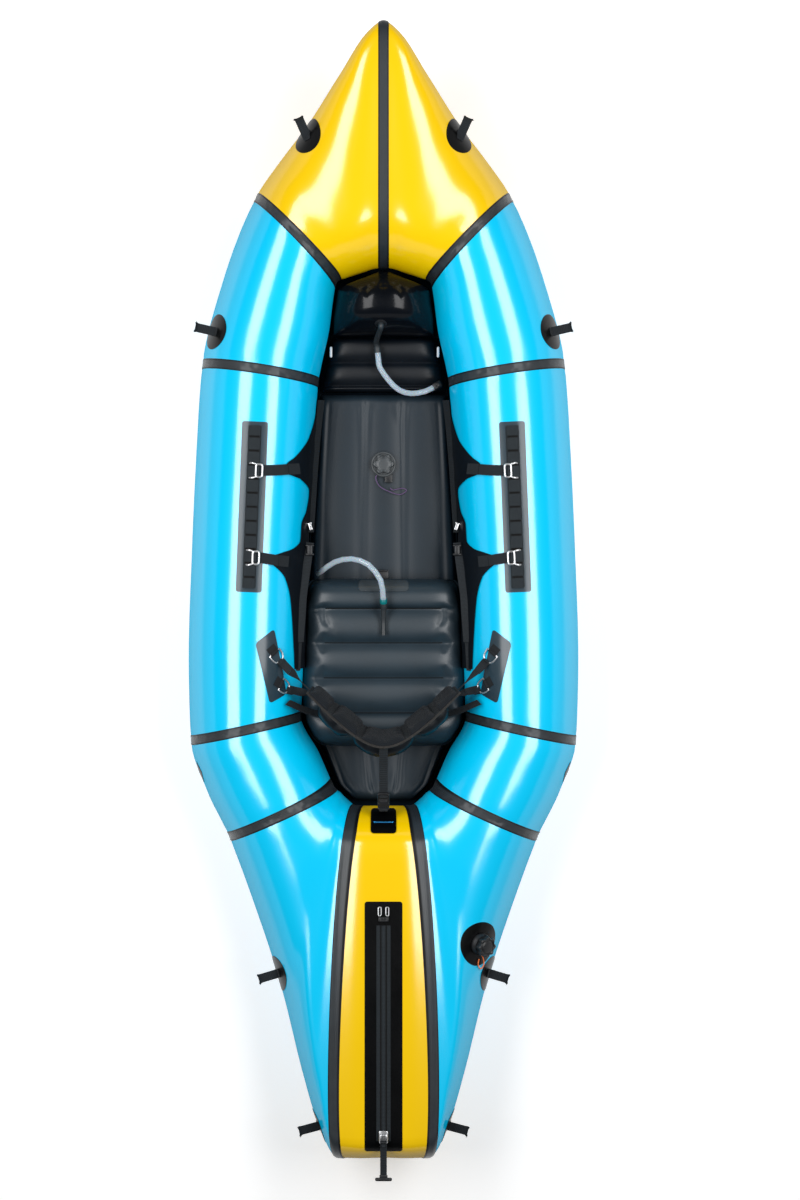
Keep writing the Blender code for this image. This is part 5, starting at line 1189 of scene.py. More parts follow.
def build_seat():
    """Seat cushion: five cross chambers whose seams stop short of its sides, each seam drawn with a thin
    near-black line of painted shade.
    """
    rear, front = SEAT_BOX[0][1], SEAT_BOX[1][1]
    base = SEAT_BOX[0][2]
    height = SEAT_BOX[1][2] - base
    columns, rows = SEAT_GRID
    widths = open_widths(SEAT_BOX, rows, SEAT_BOX[1][0] - CUSHION_CLEARANCE)

    def plan(u, v):
        y = rear + (front - rear) * v
        corner = max(0.0, (abs(2 * v - 1) - 0.9) / 0.1) ** 2 * SEAT_CORNER
        return (2 * u - 1) * (widths[round(v * rows)] - corner), y

    def fade(share):
        return min(1.0, max(0.0, (1 - abs(share)) / (1 - SEAM_SIDE_SHARE) - 0.25) / 0.75)

    def top(u, v):
        x, y = plan(u, v)
        share = 2 * u - 1
        across = math.sqrt(max(0.0, 1 - abs(share) ** 8))
        end = math.sqrt(max(0.0, 1 - abs(2 * v - 1) ** 10))
        seam = SEAT_GROOVE * (1 - chamber(v, SEAT_SEAM_SHARES)) * fade(share) * end
        ruffle = noise.noise(Vector((share * 3.0, v * 26.0, 4.0)))
        gather = SEAT_GATHER * ruffle * (1 - fade(share)) * across
        high = SEAT_WAIST_SHARE + (1 - SEAT_WAIST_SHARE) * across * end
        return Vector((x, y, base + (height - SEAT_CREST_ROOM) * high - seam + gather * end))

    def bottom(u, v):
        x, y = plan(u, v)
        rim = max(abs(2 * u - 1) ** 10, abs(2 * v - 1) ** 12)
        return Vector((x, y, base + height * SEAT_WAIST_SHARE * rim))

    def held(u, v, number):
        if number:
            return 1.0
        share = 2 * u - 1
        seam = near_seam(v, SEAT_SEAM_SHARES[1:-1], SEAT_SEAM_HALF_WIDTH)
        return 1.0 if seam and abs(share) < SEAM_SIDE_SHARE else 0.0

    mesh = cushion(columns, rows, top, bottom, held, (0.38, 0.4))
    made = cushion_piece("seat_cushion_cover", "seat_cushion", mesh, CUSHION,
                         pressure=2.0, grow=0.0, limit=0.006)
    shape = BVHTree.FromObject(made, bpy.context.evaluated_depsgraph_get())
    # Painted shade: a thin near-black tube along each seam stands for the shade in its narrow crease.
    for number, v in enumerate(SEAT_SEAM_SHARES[1:-1]):
        route = []
        for step in range(41):
            x, y = plan(0.5 + SEAT_SEAM_REACH * (step / 20 - 1), v)
            route.append(shape.ray_cast(Vector((x, y, ABOVE)), DOWN)[0])
        line = tube("seat_seam_" + str(number), route, SEAM_SHADE_LINE_WIDTH, SEAM_SHADE_LINE, detail=2)


BRACE_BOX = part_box("foot_brace_base")
BRACE_RIB_SHARES = (0.0, 0.09, 0.54, 1.0)
BRACE_RIB_REACH = 0.017
BRACE_GROOVE = 0.016
BRACE_CREST_ROOM = 0.003
BRACE_WAIST_SHARE = 0.35
BRACE_REAR_SHARE = 0.75
BRACE_GRID = (60, 30)


def build_brace_base():
    """Ribbed base of the foot brace, with a stitched seam along its rear edge."""
    rear, front = BRACE_BOX[0][1], BRACE_BOX[1][1]
    base, height = BRACE_BOX[0][2], BRACE_BOX[1][2] - BRACE_BOX[0][2]
    columns, rows = BRACE_GRID
    widths = open_widths(BRACE_BOX, rows)

    def plan(u, v):
        return (2 * u - 1) * widths[round(v * rows)], rear + (front - rear) * v

    def full_height(v):
        return (height - BRACE_CREST_ROOM) * (BRACE_REAR_SHARE + (1 - BRACE_REAR_SHARE) * v)

    def top(u, v):
        x, y = plan(u, v)
        share = 2 * u - 1
        crown = math.sqrt(max(0.0, 1 - abs(share) ** 8))
        rib = BRACE_GROOVE * (1 - chamber(v, BRACE_RIB_SHARES)) * crown
        high = BRACE_WAIST_SHARE + (1 - BRACE_WAIST_SHARE) * crown
        return Vector((x, y, base + full_height(v) * high - rib))

    def bottom(u, v):
        x, y = plan(u, v)
        rim = max(abs(2 * u - 1) ** 10, abs(2 * v - 1) ** 10)
        waist = min(top(u, v).z - base, full_height(v) * BRACE_WAIST_SHARE)
        return Vector((x, y, base + waist * rim))

    def held(u, v, number):
        if number:
            return 1.0
        return 1.0 if near_seam(v, BRACE_RIB_SHARES, BRACE_RIB_REACH) else 0.0

    mesh = cushion(columns, rows, top, bottom, held, (0.3, 0.13))
    cushion_piece("foot_brace_base_cushion", "foot_brace_base", mesh, BRACE_CLOTH,
                  pressure=2.0, grow=0.0, limit=0.004)


PILLOW_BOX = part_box("foot_brace_pillow")
PILLOW_SEAM_ROW = 0.66
PILLOW_SEAM_BOW = 0.12
PILLOW_BOW = 0.020
PILLOW_CREST_ROOM = 0.006
PILLOW_WAIST_SHARE = 0.45
PILLOW_GRID = (84, 56)
PUCKER_COUNT = 9.0
PUCKER_HEIGHT = 0.0045


def build_pillow():
    """Glossy pillow of the foot brace, gathered along the seam of its forward edge."""
    rear, front = PILLOW_BOX[0][1], PILLOW_BOX[1][1]
    base, height = PILLOW_BOX[0][2], PILLOW_BOX[1][2] - PILLOW_BOX[0][2]
    columns, rows = PILLOW_GRID
    widths = open_widths(PILLOW_BOX, rows, PILLOW_BOX[1][0])

    def plan(u, v):
        y = rear + (front - rear) * v
        share = 2 * u - 1
        bow = PILLOW_BOW * share * share * v
        return share * widths[round(v * rows)], y - bow

    def pucker(share, v):
        """Gathers that run back from the seam, deepest beside it."""
        row = PILLOW_SEAM_ROW - PILLOW_SEAM_BOW * share * share
        reach = abs(v - row) / (0.16 if v > row else 0.26)
        fade = max(0.0, 1 - reach) ** 2
        turn = share * PUCKER_COUNT + 0.9 * noise.noise(Vector((share * 2.2, 0.0, 7.0)))
        valley = (1 - abs(math.sin(turn))) ** 1.3
        return -PUCKER_HEIGHT * valley * fade

    def top(u, v):
        x, y = plan(u, v)
        share = 2 * u - 1
        across = math.sqrt(max(0.0, 1 - abs(share) ** 2.4))
        along = math.sqrt(max(0.0, 1 - abs(2 * v - 0.98) ** 2.2)) if 0 < v < 0.99 else 0.0
        high = PILLOW_WAIST_SHARE + (1 - PILLOW_WAIST_SHARE) * across * along
        gather = pucker(share, v) * across * along
        return Vector((x, y, base + (height - PILLOW_CREST_ROOM) * high + gather))

    def bottom(u, v):
        x, y = plan(u, v)
        rim = max(abs(2 * u - 1) ** 8, abs(2 * v - 1) ** 8)
        return Vector((x, y, base + (height - PILLOW_CREST_ROOM) * PILLOW_WAIST_SHARE * rim))

    def held(u, v, number):
        if number:
            return 1.0
        row = PILLOW_SEAM_ROW - PILLOW_SEAM_BOW * (2 * u - 1) ** 2
        return 1.0 if abs(v - row) < 0.01 else 0.0

    mesh = cushion(columns, rows, top, bottom, held, (0.26, 0.3))
    cushion_piece("foot_brace_pillow_cover", "foot_brace_pillow", mesh, PILLOW,
                  pressure=3.0, grow=0.004, limit=0.006)


build_mat()
build_seat()
build_brace_base()
build_pillow()


# Backrest

BAND_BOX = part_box("backrest_band")
BACKREST_HALF_WIDTH = BAND_BOX[1][0]
BACKREST_BOTTOM = BAND_BOX[0][2]
BACKREST_HEIGHT = BAND_BOX[1][2] - BAND_BOX[0][2]
BACKREST_MIDDLE_SHARE = -0.269
BACKREST_SLOPE = 1.1
BACKREST_BEND_SHARE = 0.182
BACKREST_LEAN = 0.026
BAND_THICKNESS = 0.005
PAD_EDGE_SHARES = (-0.98, -0.74, -0.69, -0.36, -0.31, 0.31, 0.36, 0.69, 0.74, 0.98)
CELL_EDGE_SHARES = (-0.83, -0.42, -0.4, 0.4, 0.42, 0.83)
STRAP_WIDTH = 0.02
BAND_COLUMNS = 96
BINDING_DIAMETER = 0.0055
PAD_THICKNESS = 0.012
CELL_DEPTH = 0.033
WEBBING_THICKNESS = 0.0016


def backrest_curve(x):
    """Plan curve of the backrest band: a flat middle and two straight wings."""
    bend = BACKREST_BEND_SHARE * HALF_BEAM
    middle = BACKREST_MIDDLE_SHARE * HALF_LENGTH
    return Vector((x, middle + BACKREST_SLOPE * (math.hypot(x, bend) - bend), 0.0))


def backrest_normal(x):
    along = backrest_curve(x + BAND_THICKNESS) - backrest_curve(x - BAND_THICKNESS)
    return Vector((-along.y, along.x, 0.0)).normalized()


def wall(share, level, depth):
    """Place on the backrest: share of its half width, level of its height, depth before the band."""
    x = share * BACKREST_HALF_WIDTH
    lean = BACKREST_LEAN * (1 - level)
    height = Vector((0.0, 0.0, BACKREST_BOTTOM + BACKREST_HEIGHT * level))
    return backrest_curve(x) + backrest_normal(x) * (depth + lean) + height


def band_levels(share):
    """Lowest and highest level of the band, lower in its wings."""
    wing = min(max((abs(share) - 0.7) / 0.3, 0.0), 1.0)
    return 0.05 + 0.33 * wing, 0.97 - 0.05 * wing


def build_band():
    def place_of(depth):
        def sheet(u, v):
            share = 2 * u - 1
            low, high = band_levels(share)
            return wall(share, low + (high - low) * v, depth)
        return sheet

    mesh = cushion(BAND_COLUMNS, 16, place_of(BAND_THICKNESS), place_of(0.0),
                   lambda u, v, number: 0.0, (0.42, 0.16))
    made = finish_mesh("backrest_band_cloth", weld(mesh), WEBBING, "backrest")
    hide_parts("backrest_band")
    shares = [2 * step / BAND_COLUMNS - 1 for step in range(BAND_COLUMNS + 1)]
    route = [wall(share, band_levels(share)[1], BAND_THICKNESS / 2) for share in shares]
    binding = tube("backrest_band_binding", route, BINDING_DIAMETER, BINDING, "backrest", detail=3)


def pad_sheet(low, high, bottom, top, thickness):
    """One face of a pad on the band, between two shares and two levels."""
    def place_of(u, v):
        share = low + (high - low) * u
        level = bottom + (top - bottom) * v
        rim_u = math.sqrt(max(0.0, 1 - abs(2 * u - 1) ** 6))
        rim_v = math.sqrt(max(0.0, 1 - abs(2 * v - 1) ** 5))
        return wall(share, level, BAND_THICKNESS + 0.0005 + thickness * rim_u * rim_v)
    return place_of


def build_pads():
    for number, (low, high) in enumerate(zip(PAD_EDGE_SHARES[::2], PAD_EDGE_SHARES[1::2])):
        bottom, top = band_levels((low + high) / 2)
        edges = (low, high, bottom + 0.02, top + 0.03)
        mesh = cushion(26, 20, pad_sheet(*edges, PAD_THICKNESS), pad_sheet(*edges, 0.0),
                       lambda u, v, lower: float(lower), (abs(high - low) * 0.2, 0.16))
        made = finish_mesh("backrest_pad_" + str(number), mesh, MESH_PAD, body=None)
        inflate(made, pressure=2.0, grow=0.01, limit=0.003)
        soften(made)
        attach(made, "backrest")


def build_cells():
    pieces = []
    for low, high in zip(CELL_EDGE_SHARES[::2], CELL_EDGE_SHARES[1::2]):
        def cell(depth, low=low, high=high):
            def place_of(u, v):
                share = low + (high - low) * u
                level = 0.06 + 0.72 * v
                rim = math.prod(max(0.0, 1 - abs(2 * side - 1) ** 3.5) ** 0.5 for side in (u, v))
                gather = 1 + 0.04 * math.sin(u * 19.0) * abs(2 * v - 1) ** 2
                return wall(share, level, -0.001 - depth * rim * gather)
            return place_of
        pieces.append(cushion(34, 30, cell(0.0), cell(CELL_DEPTH), lambda u, v, number: 1.0 - number,
                              (0.14, 0.13)))
    mesh = join(pieces)
    bmesh.ops.recalc_face_normals(mesh, faces=mesh.faces)
    cushion_piece("backrest_cells_cover", "backrest_air_cells", mesh, BRACE_CLOTH,
                  pressure=2.0, grow=0.01, limit=0.006, body="backrest")


def hand_point(point, hand):
    return Vector((hand * point[0], point[1], point[2]))


def ring_place(name):
    """Frame of a ring at rest: X along its bar, Y to its far side, Z out of the hull."""
    joint = JOINTS[name + "_swing"]
    place, axis = Vector(joint["pos_m"]), Vector(joint["axis"]).normalized()
    out = nearest(place)[1]
    up = upward((out - axis * axis.dot(out)).normalized())
    return frame_of_axes(axis, up.cross(axis), up, place)


RING_WIDTH = 0.032
RING_REACH = 0.026
RING_WIRE = 0.004
RING_STEPS = 14
WRAP_RADIUS = 0.0034
WRAP_TAIL = 0.014


def d_ring():
    """Loop of a D-ring: a straight bar, then a round bow."""
    points = [(-RING_WIDTH / 2, 0.0, 0.0), (0.0, 0.0, 0.0), (RING_WIDTH / 2, 0.0, 0.0)]
    for step in range(1, RING_STEPS):
        turn = math.pi * step / RING_STEPS
        x = RING_WIDTH / 2 * math.copysign(abs(math.cos(turn)) ** 0.7, math.cos(turn))
        points.append((x, RING_REACH * math.sin(turn) ** 0.7, 0.0))
    return points


def wrapped_start(bar, onward, flat):
    """First points of a strap that goes round a bar: its tail under the bar, then back over it."""
    radius, tail = WRAP_RADIUS, WRAP_TAIL
    rise = upward(onward.cross(flat).normalized())
    return [bar + onward * tail - rise * radius, bar + onward * tail * 0.45 - rise * radius,
            bar - onward * radius, bar + onward * tail * 0.45 + rise * radius,
            bar + onward * tail + rise * radius * 0.6]


def keeper(name, place):
    """Folded webbing over a ring's bar, stitched down in front of it and behind it."""
    mesh = blocks(place, ((0.024, 0.022, 0.0016), 0.0006, (0.0, -0.007, -0.001)),
                  ((0.0235, 0.0085, 0.0085), 0.003, (0.0, 0.0, 0.0002)))
    finish_mesh(name, mesh, WEBBING)


BACKREST_PATCH_X = 0.561 * HALF_BEAM
BACKREST_PATCH_Y = -0.128 * HALF_LENGTH
BACKREST_PATCH_TURN = 16.0

# Where each ring's strap meets the band: share of its half width, level of its height.
RING_STRAPS = {"upper": (1.0, 0.7), "lower": (0.83, 0.4)}


def build_backrest_mounts():
    for hand, word in HANDS:
        node = "backrest_patch_" + word
        place = hull_frame(hand * BACKREST_PATCH_X, BACKREST_PATCH_Y, 90 - hand * BACKREST_PATCH_TURN)
        made = patch(node + "_cloth", slanted_outline(hand), place)
        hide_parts(node)
        for label, (share, level) in RING_STRAPS.items():
            ring = "backrest_ring_" + label + "_" + word
            ring_frame = ring_place(ring)
            made = wire(ring + "_wire", d_ring(), RING_WIRE, ring_frame, STEEL, ring)
            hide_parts(ring)
            keeper(ring + "_keeper", ring_frame)
            name = "backrest_strap_" + label + "_" + word
            backrest_strap(name, ring_frame, share, level, hand)


def slanted_outline(hand):
    """Backrest patch: a slanted rectangle with round corners."""
    outline = []
    for x, y in rounded_outline(0.052, 0.152, 0.008):
        outline.append((x, y - hand * x * 0.42 * (1 if y > 0 else 0.45)))
    return outline


# The strap's point where its loop, which follows the ring, meets the run that follows the band.
LOOP_END = 5


def backrest_strap(name, place, share, level, hand):
    """Webbing from a ring to the band's end, or on to the band's back face."""
    bar = place @ Vector((0.0, RING_REACH, 0.0))
    flat = (place.to_3x3() @ Vector((1.0, 0.0, 0.0))).normalized()
    depth = BAND_THICKNESS / 2 if share >= 1 else -0.0014
    end = wall(hand * share, level, depth)
    wing = (wall(hand * share, level, depth) - wall(hand * (share - 0.1), level, depth)).normalized()
    last_bend = end + wing * STRAP_WIDTH
    onward = (last_bend - bar).normalized()
    upright = Vector((0.0, 0.0, 1.0))
    if flat.dot(upright.cross(end - bar)) < 0:
        flat = -flat
    points = wrapped_start(bar, onward, flat)
    points += [bar.lerp(last_bend, 0.45), bar.lerp(last_bend, 0.78), last_bend, end, end - wing * 0.016]
    turns = [flat] * 5 + [flat.lerp(upright, 0.35), flat.lerp(upright, 0.8)] + [upright] * 3
    meeting = points[LOOP_END]
    loop = strap(name + "_loop", points[:LOOP_END + 1], STRAP_WIDTH, WEBBING_THICKNESS,
                 turns[:LOOP_END + 1], WEBBING, body=None)
    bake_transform(loop)
    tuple(meeting)
    made = strap(name + "_webbing", points[LOOP_END:], STRAP_WIDTH, WEBBING_THICKNESS, turns[LOOP_END:],
                 WEBBING, body=None)
    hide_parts(name)
    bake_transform(made)
    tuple(meeting)


# Plan of each lower strap's free tail, from the band's corner outward, and its height over the tube.
TAIL_PLAN = ((0.139, -0.2805), (0.162, -0.279), (0.187, -0.2705), (0.212, -0.2585), (0.2345, -0.2485))
TAIL_ROOT_HEIGHT = 0.205
TAIL_LIFT = 0.012


def build_strap_tails():
    tip_x, tip_y = TAIL_PLAN[-1]
    for hand, word in HANDS:
        tip_height = from_above(hand * tip_x, tip_y)[0].z + TAIL_LIFT
        points, turns = [], []
        for number, (x, y) in enumerate(TAIL_PLAN):
            share = number / (len(TAIL_PLAN) - 1)
            height = TAIL_ROOT_HEIGHT + (tip_height - TAIL_ROOT_HEIGHT) * share
            points.append(Vector((hand * x, y, height)))
            turn = Vector((-hand * 0.4 * share, -0.6 - 0.3 * share, 0.8 - 0.72 * share))
            turns.append(turn.normalized())
        made = strap("backrest_strap_tail_" + word, points, STRAP_WIDTH, WEBBING_THICKNESS, turns,
                     WEBBING, body=None, slant=0.8)
        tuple(points[-1])
        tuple(points[0])
        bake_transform(made)


build_band()
build_pads()
build_cells()
build_backrest_mounts()
build_strap_tails()


# Rear strap, buckle and stern anchor

STERN_ANCHOR_BAR = (0.0, -0.5347, 0.2422)
STERN_ANCHOR_PLACE = (0.0, -0.5355, 0.24)
STERN_ANCHOR_BAR_HEIGHT = 0.0052
STERN_ANCHOR_BAR_DIAMETER = 0.0046
ACROSS = Vector((1.0, 0.0, 0.0))

# The strap's way through its buckle: places along and out of the buckle.
BUCKLE_ROUTE = ((0.03, -0.0035), (0.0205, -0.0046), (0.0165, -0.0005), (0.0125, 0.0046), (0.0085, 0.0),
                (0.0125, -0.0056), (0.0205, -0.0066))
# The anchor's bar: places across and up.
ANCHOR_BAR_ROUTE = ((-0.0235, -0.003), (-0.021, -0.0005), (-0.017, 0.0), (0.0, 0.0005), (0.017, 0.0),
                    (0.021, -0.0005), (0.0235, -0.003))
# Blocks of the buckle: size, radius of the edges, middle.
BUCKLE_BLOCKS = (
    ((0.0035, 0.024, 0.008), 0.0012, (-0.0122, 0.009, 0.0)),
    ((0.0035, 0.024, 0.008), 0.0012, (0.0122, 0.009, 0.0)),
    ((0.0275, 0.0036, 0.0062), 0.0013, (0.0, 0.0205, 0.0)),
    ((0.0275, 0.0036, 0.0062), 0.0013, (0.0, 0.0125, 0.0)),
    ((0.0275, 0.0036, 0.0062), 0.0013, (0.0, 0.0055, 0.0)),
    ((0.021, 0.019, 0.0066), 0.002, (0.0, -0.006, 0.0)),
    ((0.0042, 0.012, 0.0076), 0.0019, (-0.0119, -0.0085, 0.0)),
    ((0.0042, 0.012, 0.0076), 0.0019, (0.0119, -0.0085, 0.0)),
    ((0.0275, 0.0052, 0.0074), 0.0019, (0.0, -0.0185, 0.0)),
)


def build_rear_strap():
    """Strap from the backrest to its buckle, and the stern's anchor that holds the buckle."""
    middle = Vector(box_middle("rear_buckle"))
    start = wall(0.0, 0.93, -0.0015)
    along = (Vector(STERN_ANCHOR_BAR) - middle).normalized()
    up = upward(ACROSS.cross(along))
    place = frame_of_axes(ACROSS, -along, up, middle)
    bars = [place @ Vector((0.0, y, z)) for y, z in BUCKLE_ROUTE]
    entry = bars[0]
    points = [start - Vector((0.0, 0.0, 0.02)), start, start.lerp(entry, 0.5) - up * 0.004, *bars,
              start.lerp(entry, 0.6) - up * 0.008]
    made = strap("rear_strap_webbing", points, STRAP_WIDTH, WEBBING_THICKNESS, [ACROSS] * len(points),
                 WEBBING, body=None)
    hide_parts("rear_strap")
    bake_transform(made)
    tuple(entry)

    made = finish_mesh("rear_buckle_body", blocks(place, *BUCKLE_BLOCKS), PLASTIC)
    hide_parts("rear_buckle")

    made = patch("stern_anchor_cloth", rounded_outline(0.06, 0.05, 0.007),
                 Matrix.Translation(STERN_ANCHOR_PLACE), GLOSS_PATCH, 0.0024, 0.004)
    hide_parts("stern_anchor")
    below, inside, edge = (from_above(0.0, y)[0] for y in (-0.5352, -0.522, -0.512))
    level = below + Vector((0.0, 0.0, STERN_ANCHOR_BAR_HEIGHT))
    route = [level + Vector((x, 0.0, z)) for x, z in ANCHOR_BAR_ROUTE]
    bar = tube("stern_anchor_bar", smooth_route(route, 4), STERN_ANCHOR_BAR_DIAMETER, HULL_REFLECTION_METAL)
    hitch = middle + along * 0.0185
    edge, inside = edge + up * 0.003, inside + up * 0.0008
    points = [inside, edge, hitch + along * 0.006 + up * 0.0042, hitch + up * 0.0046,
              hitch - along * 0.0042, hitch - up * 0.0046, hitch + along * 0.008 - up * 0.0016,
              edge - up * 0.0014, inside - up * 0.0016]
    made = strap("stern_anchor_webbing", points, STRAP_WIDTH, WEBBING_THICKNESS,
                 [ACROSS] * len(points), WEBBING)


build_rear_strap()


# Daisy chains, hooks and side panels

DAISY_X = 0.660 * HALF_BEAM
DAISY_Y = 0.155 * HALF_LENGTH
DAISY_TURN = 2.2
DAISY_BAND_WIDTH = 0.028
SLOT_DEPTH = 0.0042
HOOK_HEIGHT = 0.0085
HOOK_WIRE = 0.0052
HOOK_LOOP = (0.0155, 0.03, 0.0055)
HOOK_STRAP_WIDTH = 0.025
HOOK_STRAP_LIFT = 0.0062
HOOK_STRAP_START = HOOK_HEIGHT - 0.0045
HOOK_END_WIDTH = 0.026
HOOK_END_LIFT = 0.0082
SIDE_CLOTH_LIFT = 0.0026
SIDE_CLOTH_RIPPLE = 0.0008
SIDE_CLOTH_THICKNESS = 0.001
SIDE_CLOTH_PAST_INSIDE = 0.25
SIDE_ROWS = 150
HOOK_LOOP_SHIFT = 0.0095


def build_daisy_chains():
    for hand, word in HANDS:
        node = "daisy_chain_" + word
        place = hull_frame(hand * DAISY_X, DAISY_Y, 90 + hand * DAISY_TURN)
        made = patch(node + "_patch", rounded_outline(0.06, 0.4, 0.005), place)
        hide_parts(node)
        mesh = flat_sheet(rounded_outline(DAISY_BAND_WIDTH, 0.381, 0.002, 2), 0.0022)
        for vertex in mesh.verts:
            x, y = -hand * vertex.co.x, vertex.co.y
            near = abs((y / DAISY_PITCH + 0.5) % 1 - 0.5) * DAISY_PITCH
            arch = min(near / 0.0045, 1.0) ** 0.6
            if x > 0.0075:
                arch = max(arch, min((x - 0.0075) / 0.002, 1.0))
            edge = min(1.0, (DAISY_BAND_WIDTH / 2 - abs(x)) / 0.002)
            vertex.co.z = SLOT_DEPTH * arch * (0.35 + 0.65 * edge)
        lay(mesh, place, 0.0015)
        thicken(mesh, 0.0012)
        band = finish_mesh(node + "_band", mesh, DAISY_WEBBING)
        for label in ("front", "rear"):
            hook(label + "_" + word, hand)


def hook(label, hand):
    """Bent wire loop on the daisy chain, with a prong in each of two slots."""
    node = "hook_" + label
    x, y = box_middle(node)[:2]
    place = hull_frame(x, y, 90 + hand * DAISY_TURN)
    place.translation += place.col[2].to_3d() * HOOK_HEIGHT
    inward = -hand * HOOK_LOOP_SHIFT
    outline = [(x + inward, y, 0.0) for x, y in rounded_outline(*HOOK_LOOP)]
    made = wire(node + "_loop", outline, HOOK_WIRE, place, STEEL, node)
    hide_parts(node)
    for number, side in enumerate((-1, 1)):
        prong = [(-hand * 0.003, side * 0.0132, 0.0), (hand * 0.002, side * 0.0162, 0.0008),
                 (hand * 0.0085, side * 0.0175, -0.001), (hand * 0.0125, side * 0.0168, -0.0055)]
        made = wire(node + "_prong_" + str(number), smooth_route(prong, 3), HOOK_WIRE, place, STEEL,
                    node, cyclic=False)


def laid_strap(name, plan, width, lift, body="hull", start=None):
    """Webbing that lies on the hull along a line seen from above."""
    points, acrosses = [], []
    for index, (x, y) in enumerate(plan):
        hit = from_above(x, y)
        points.append(hit[0] + hit[1].normalized() * (lift if index or start is None else start))
        ahead = plan[min(index + 1, len(plan) - 1)]
        back = plan[max(index - 1, 0)]
        along = Vector((ahead[0] - back[0], ahead[1] - back[1], 0.0))
        acrosses.append(along.cross(hit[1]).normalized())
    made = strap(name, points, width, WEBBING_THICKNESS, acrosses, WEBBING, body)
    return made


# Edge of the side panel: shares of half length, then of half beam.
SIDE_EDGE_SHARES = (
    (0.362, 0.340), (0.33, 0.352), (0.285, 0.384), (0.262, 0.420), (0.247, 0.452), (0.232, 0.492),
    (0.2175, 0.49), (0.2085, 0.425), (0.190, 0.383), (0.153, 0.396), (0.128, 0.420), (0.097, 0.426),
    (0.082, 0.462), (0.074, 0.52), (0.062, 0.60), (0.052, 0.555), (0.030, 0.500), (-0.009, 0.474),
    (-0.087, 0.46), (-0.137, 0.455),
)


def edge_slope(number):
    """Slope of the edge at a listed point; level where the edge turns back."""
    if number in (0, len(SIDE_EDGE_SHARES) - 1):
        return 0.0
    (y0, x0), (y1, x1), (y2, x2) = SIDE_EDGE_SHARES[number - 1:number + 2]
    before, after = (x1 - x0) / (y1 - y0), (x2 - x1) / (y2 - y1)
    return 2 * before * after / (before + after) if before * after > 0 else 0.0


def side_edge(y):
    share = y / HALF_LENGTH
    for number, ((y0, x0), (y1, x1)) in enumerate(zip(SIDE_EDGE_SHARES, SIDE_EDGE_SHARES[1:])):
        if y0 >= share >= y1:
            t = (share - y0) / (y1 - y0)
            run = y1 - y0
            start, end = edge_slope(number) * run, edge_slope(number + 1) * run
            rise = (2 * t ** 3 - 3 * t ** 2 + 1) * x0 + (3 * t ** 2 - 2 * t ** 3) * x1
            return (rise + (t ** 3 - 2 * t ** 2 + t) * start + (t ** 3 - t ** 2) * end) * HALF_BEAM
    return SIDE_EDGE_SHARES[-1][1] * HALF_BEAM


def place_at(y):
    """Station place whose crest lies at a distance along the hull."""
    low, high = float(STATIONS.index("front_seam")), float(STATIONS.index("mid_seam"))
    for _ in range(24):
        middle = (low + high) / 2
        if bare_hull(middle, math.pi / 2, 1).y > y:
            low = middle
        else:
            high = middle
    return (low + high) / 2


def build_side_panels():
    first, last = SIDE_EDGE_SHARES[0][0] * HALF_LENGTH, SIDE_EDGE_SHARES[-1][0] * HALF_LENGTH
    lines = []
    for row in range(SIDE_ROWS + 1):
        y = first + (last - first) * row / SIDE_ROWS
        place = place_at(y)
        values = station_values(place)
        share = (side_edge(y) / HALF_BEAM - values[2]) / (values[0] - values[2])
        share = min(max(share, 0.001), 0.999)
        lines.append((place, math.acos(2 * share - 1)))
    for hand, word in HANDS:
        def place_of(u, v):
            place, edge = lines[round(v * SIDE_ROWS)]
            turn = edge + (math.pi + SIDE_CLOTH_PAST_INSIDE - edge) * u
            ripple = SIDE_CLOTH_RIPPLE * math.sin(v * 55.0 + u * 4.0) * u
            return hull_point(place, turn, hand, SIDE_CLOTH_LIFT + ripple)

        mesh = weld(formed_grid(30, SIDE_ROWS, place_of, (0.12, last - first)))
        face_out(mesh)
        thicken(mesh, SIDE_CLOTH_THICKNESS)
        area = sum(face.calc_area() for face in mesh.faces) / 2
        made = finish_mesh("side_panel_cloth_" + word, mesh, SIDE_CLOTH)
        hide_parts("side_panel_" + word)
        for label, plan in HOOK_STRAPS.items():
            route = [(hand * x, y) for x, y in plan]
            end = label + "_" + word
            made = laid_strap("hook_strap_" + end, route, HOOK_STRAP_WIDTH, HOOK_STRAP_LIFT,
                              None, HOOK_STRAP_START)
            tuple(from_above(*route[-1])[0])
            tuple(from_above(*route[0])[0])
            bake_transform(made)
            inward = route[-1][0] - hand * 0.003
            laid_strap("hook_strap_end_" + end, [route[-2], (inward, route[-1][1])],
                       HOOK_END_WIDTH, HOOK_END_LIFT)


HOOK_STRAPS = {
    "front": [(0.2865, 0.2912), (0.279, 0.2915), (0.255, 0.2925), (0.228, 0.2955), (0.207, 0.2985)],
    "rear": [(0.2945, 0.0872), (0.287, 0.0868), (0.268, 0.0835), (0.25, 0.0805), (0.232, 0.0785)],
}

build_daisy_chains()
build_side_panels()


# Tie-down loops

# Station, share of the way to the next, side of the ring, heading and climb of the tab in degrees.
TIE_PLACES = {
    "bow": ("bow_c", 0.1, 1.7, 65.0, 20.0),
    "front": ("front_a", 0.6, 1.8, 12.0, 10.0),
    "stern_mid": ("stern_a", 0.75, 1.1, -16.0, 5.0),
    "stern_rear": ("stern_d", 0.0, 0.6, -14.0, 5.0),
}
TIE_PATCH_DIAMETER = 0.085
TIE_TAB_WIDTH = 0.021
TIE_TAB_LENGTH = 0.041
TIE_TAB_TWIST = 0.75


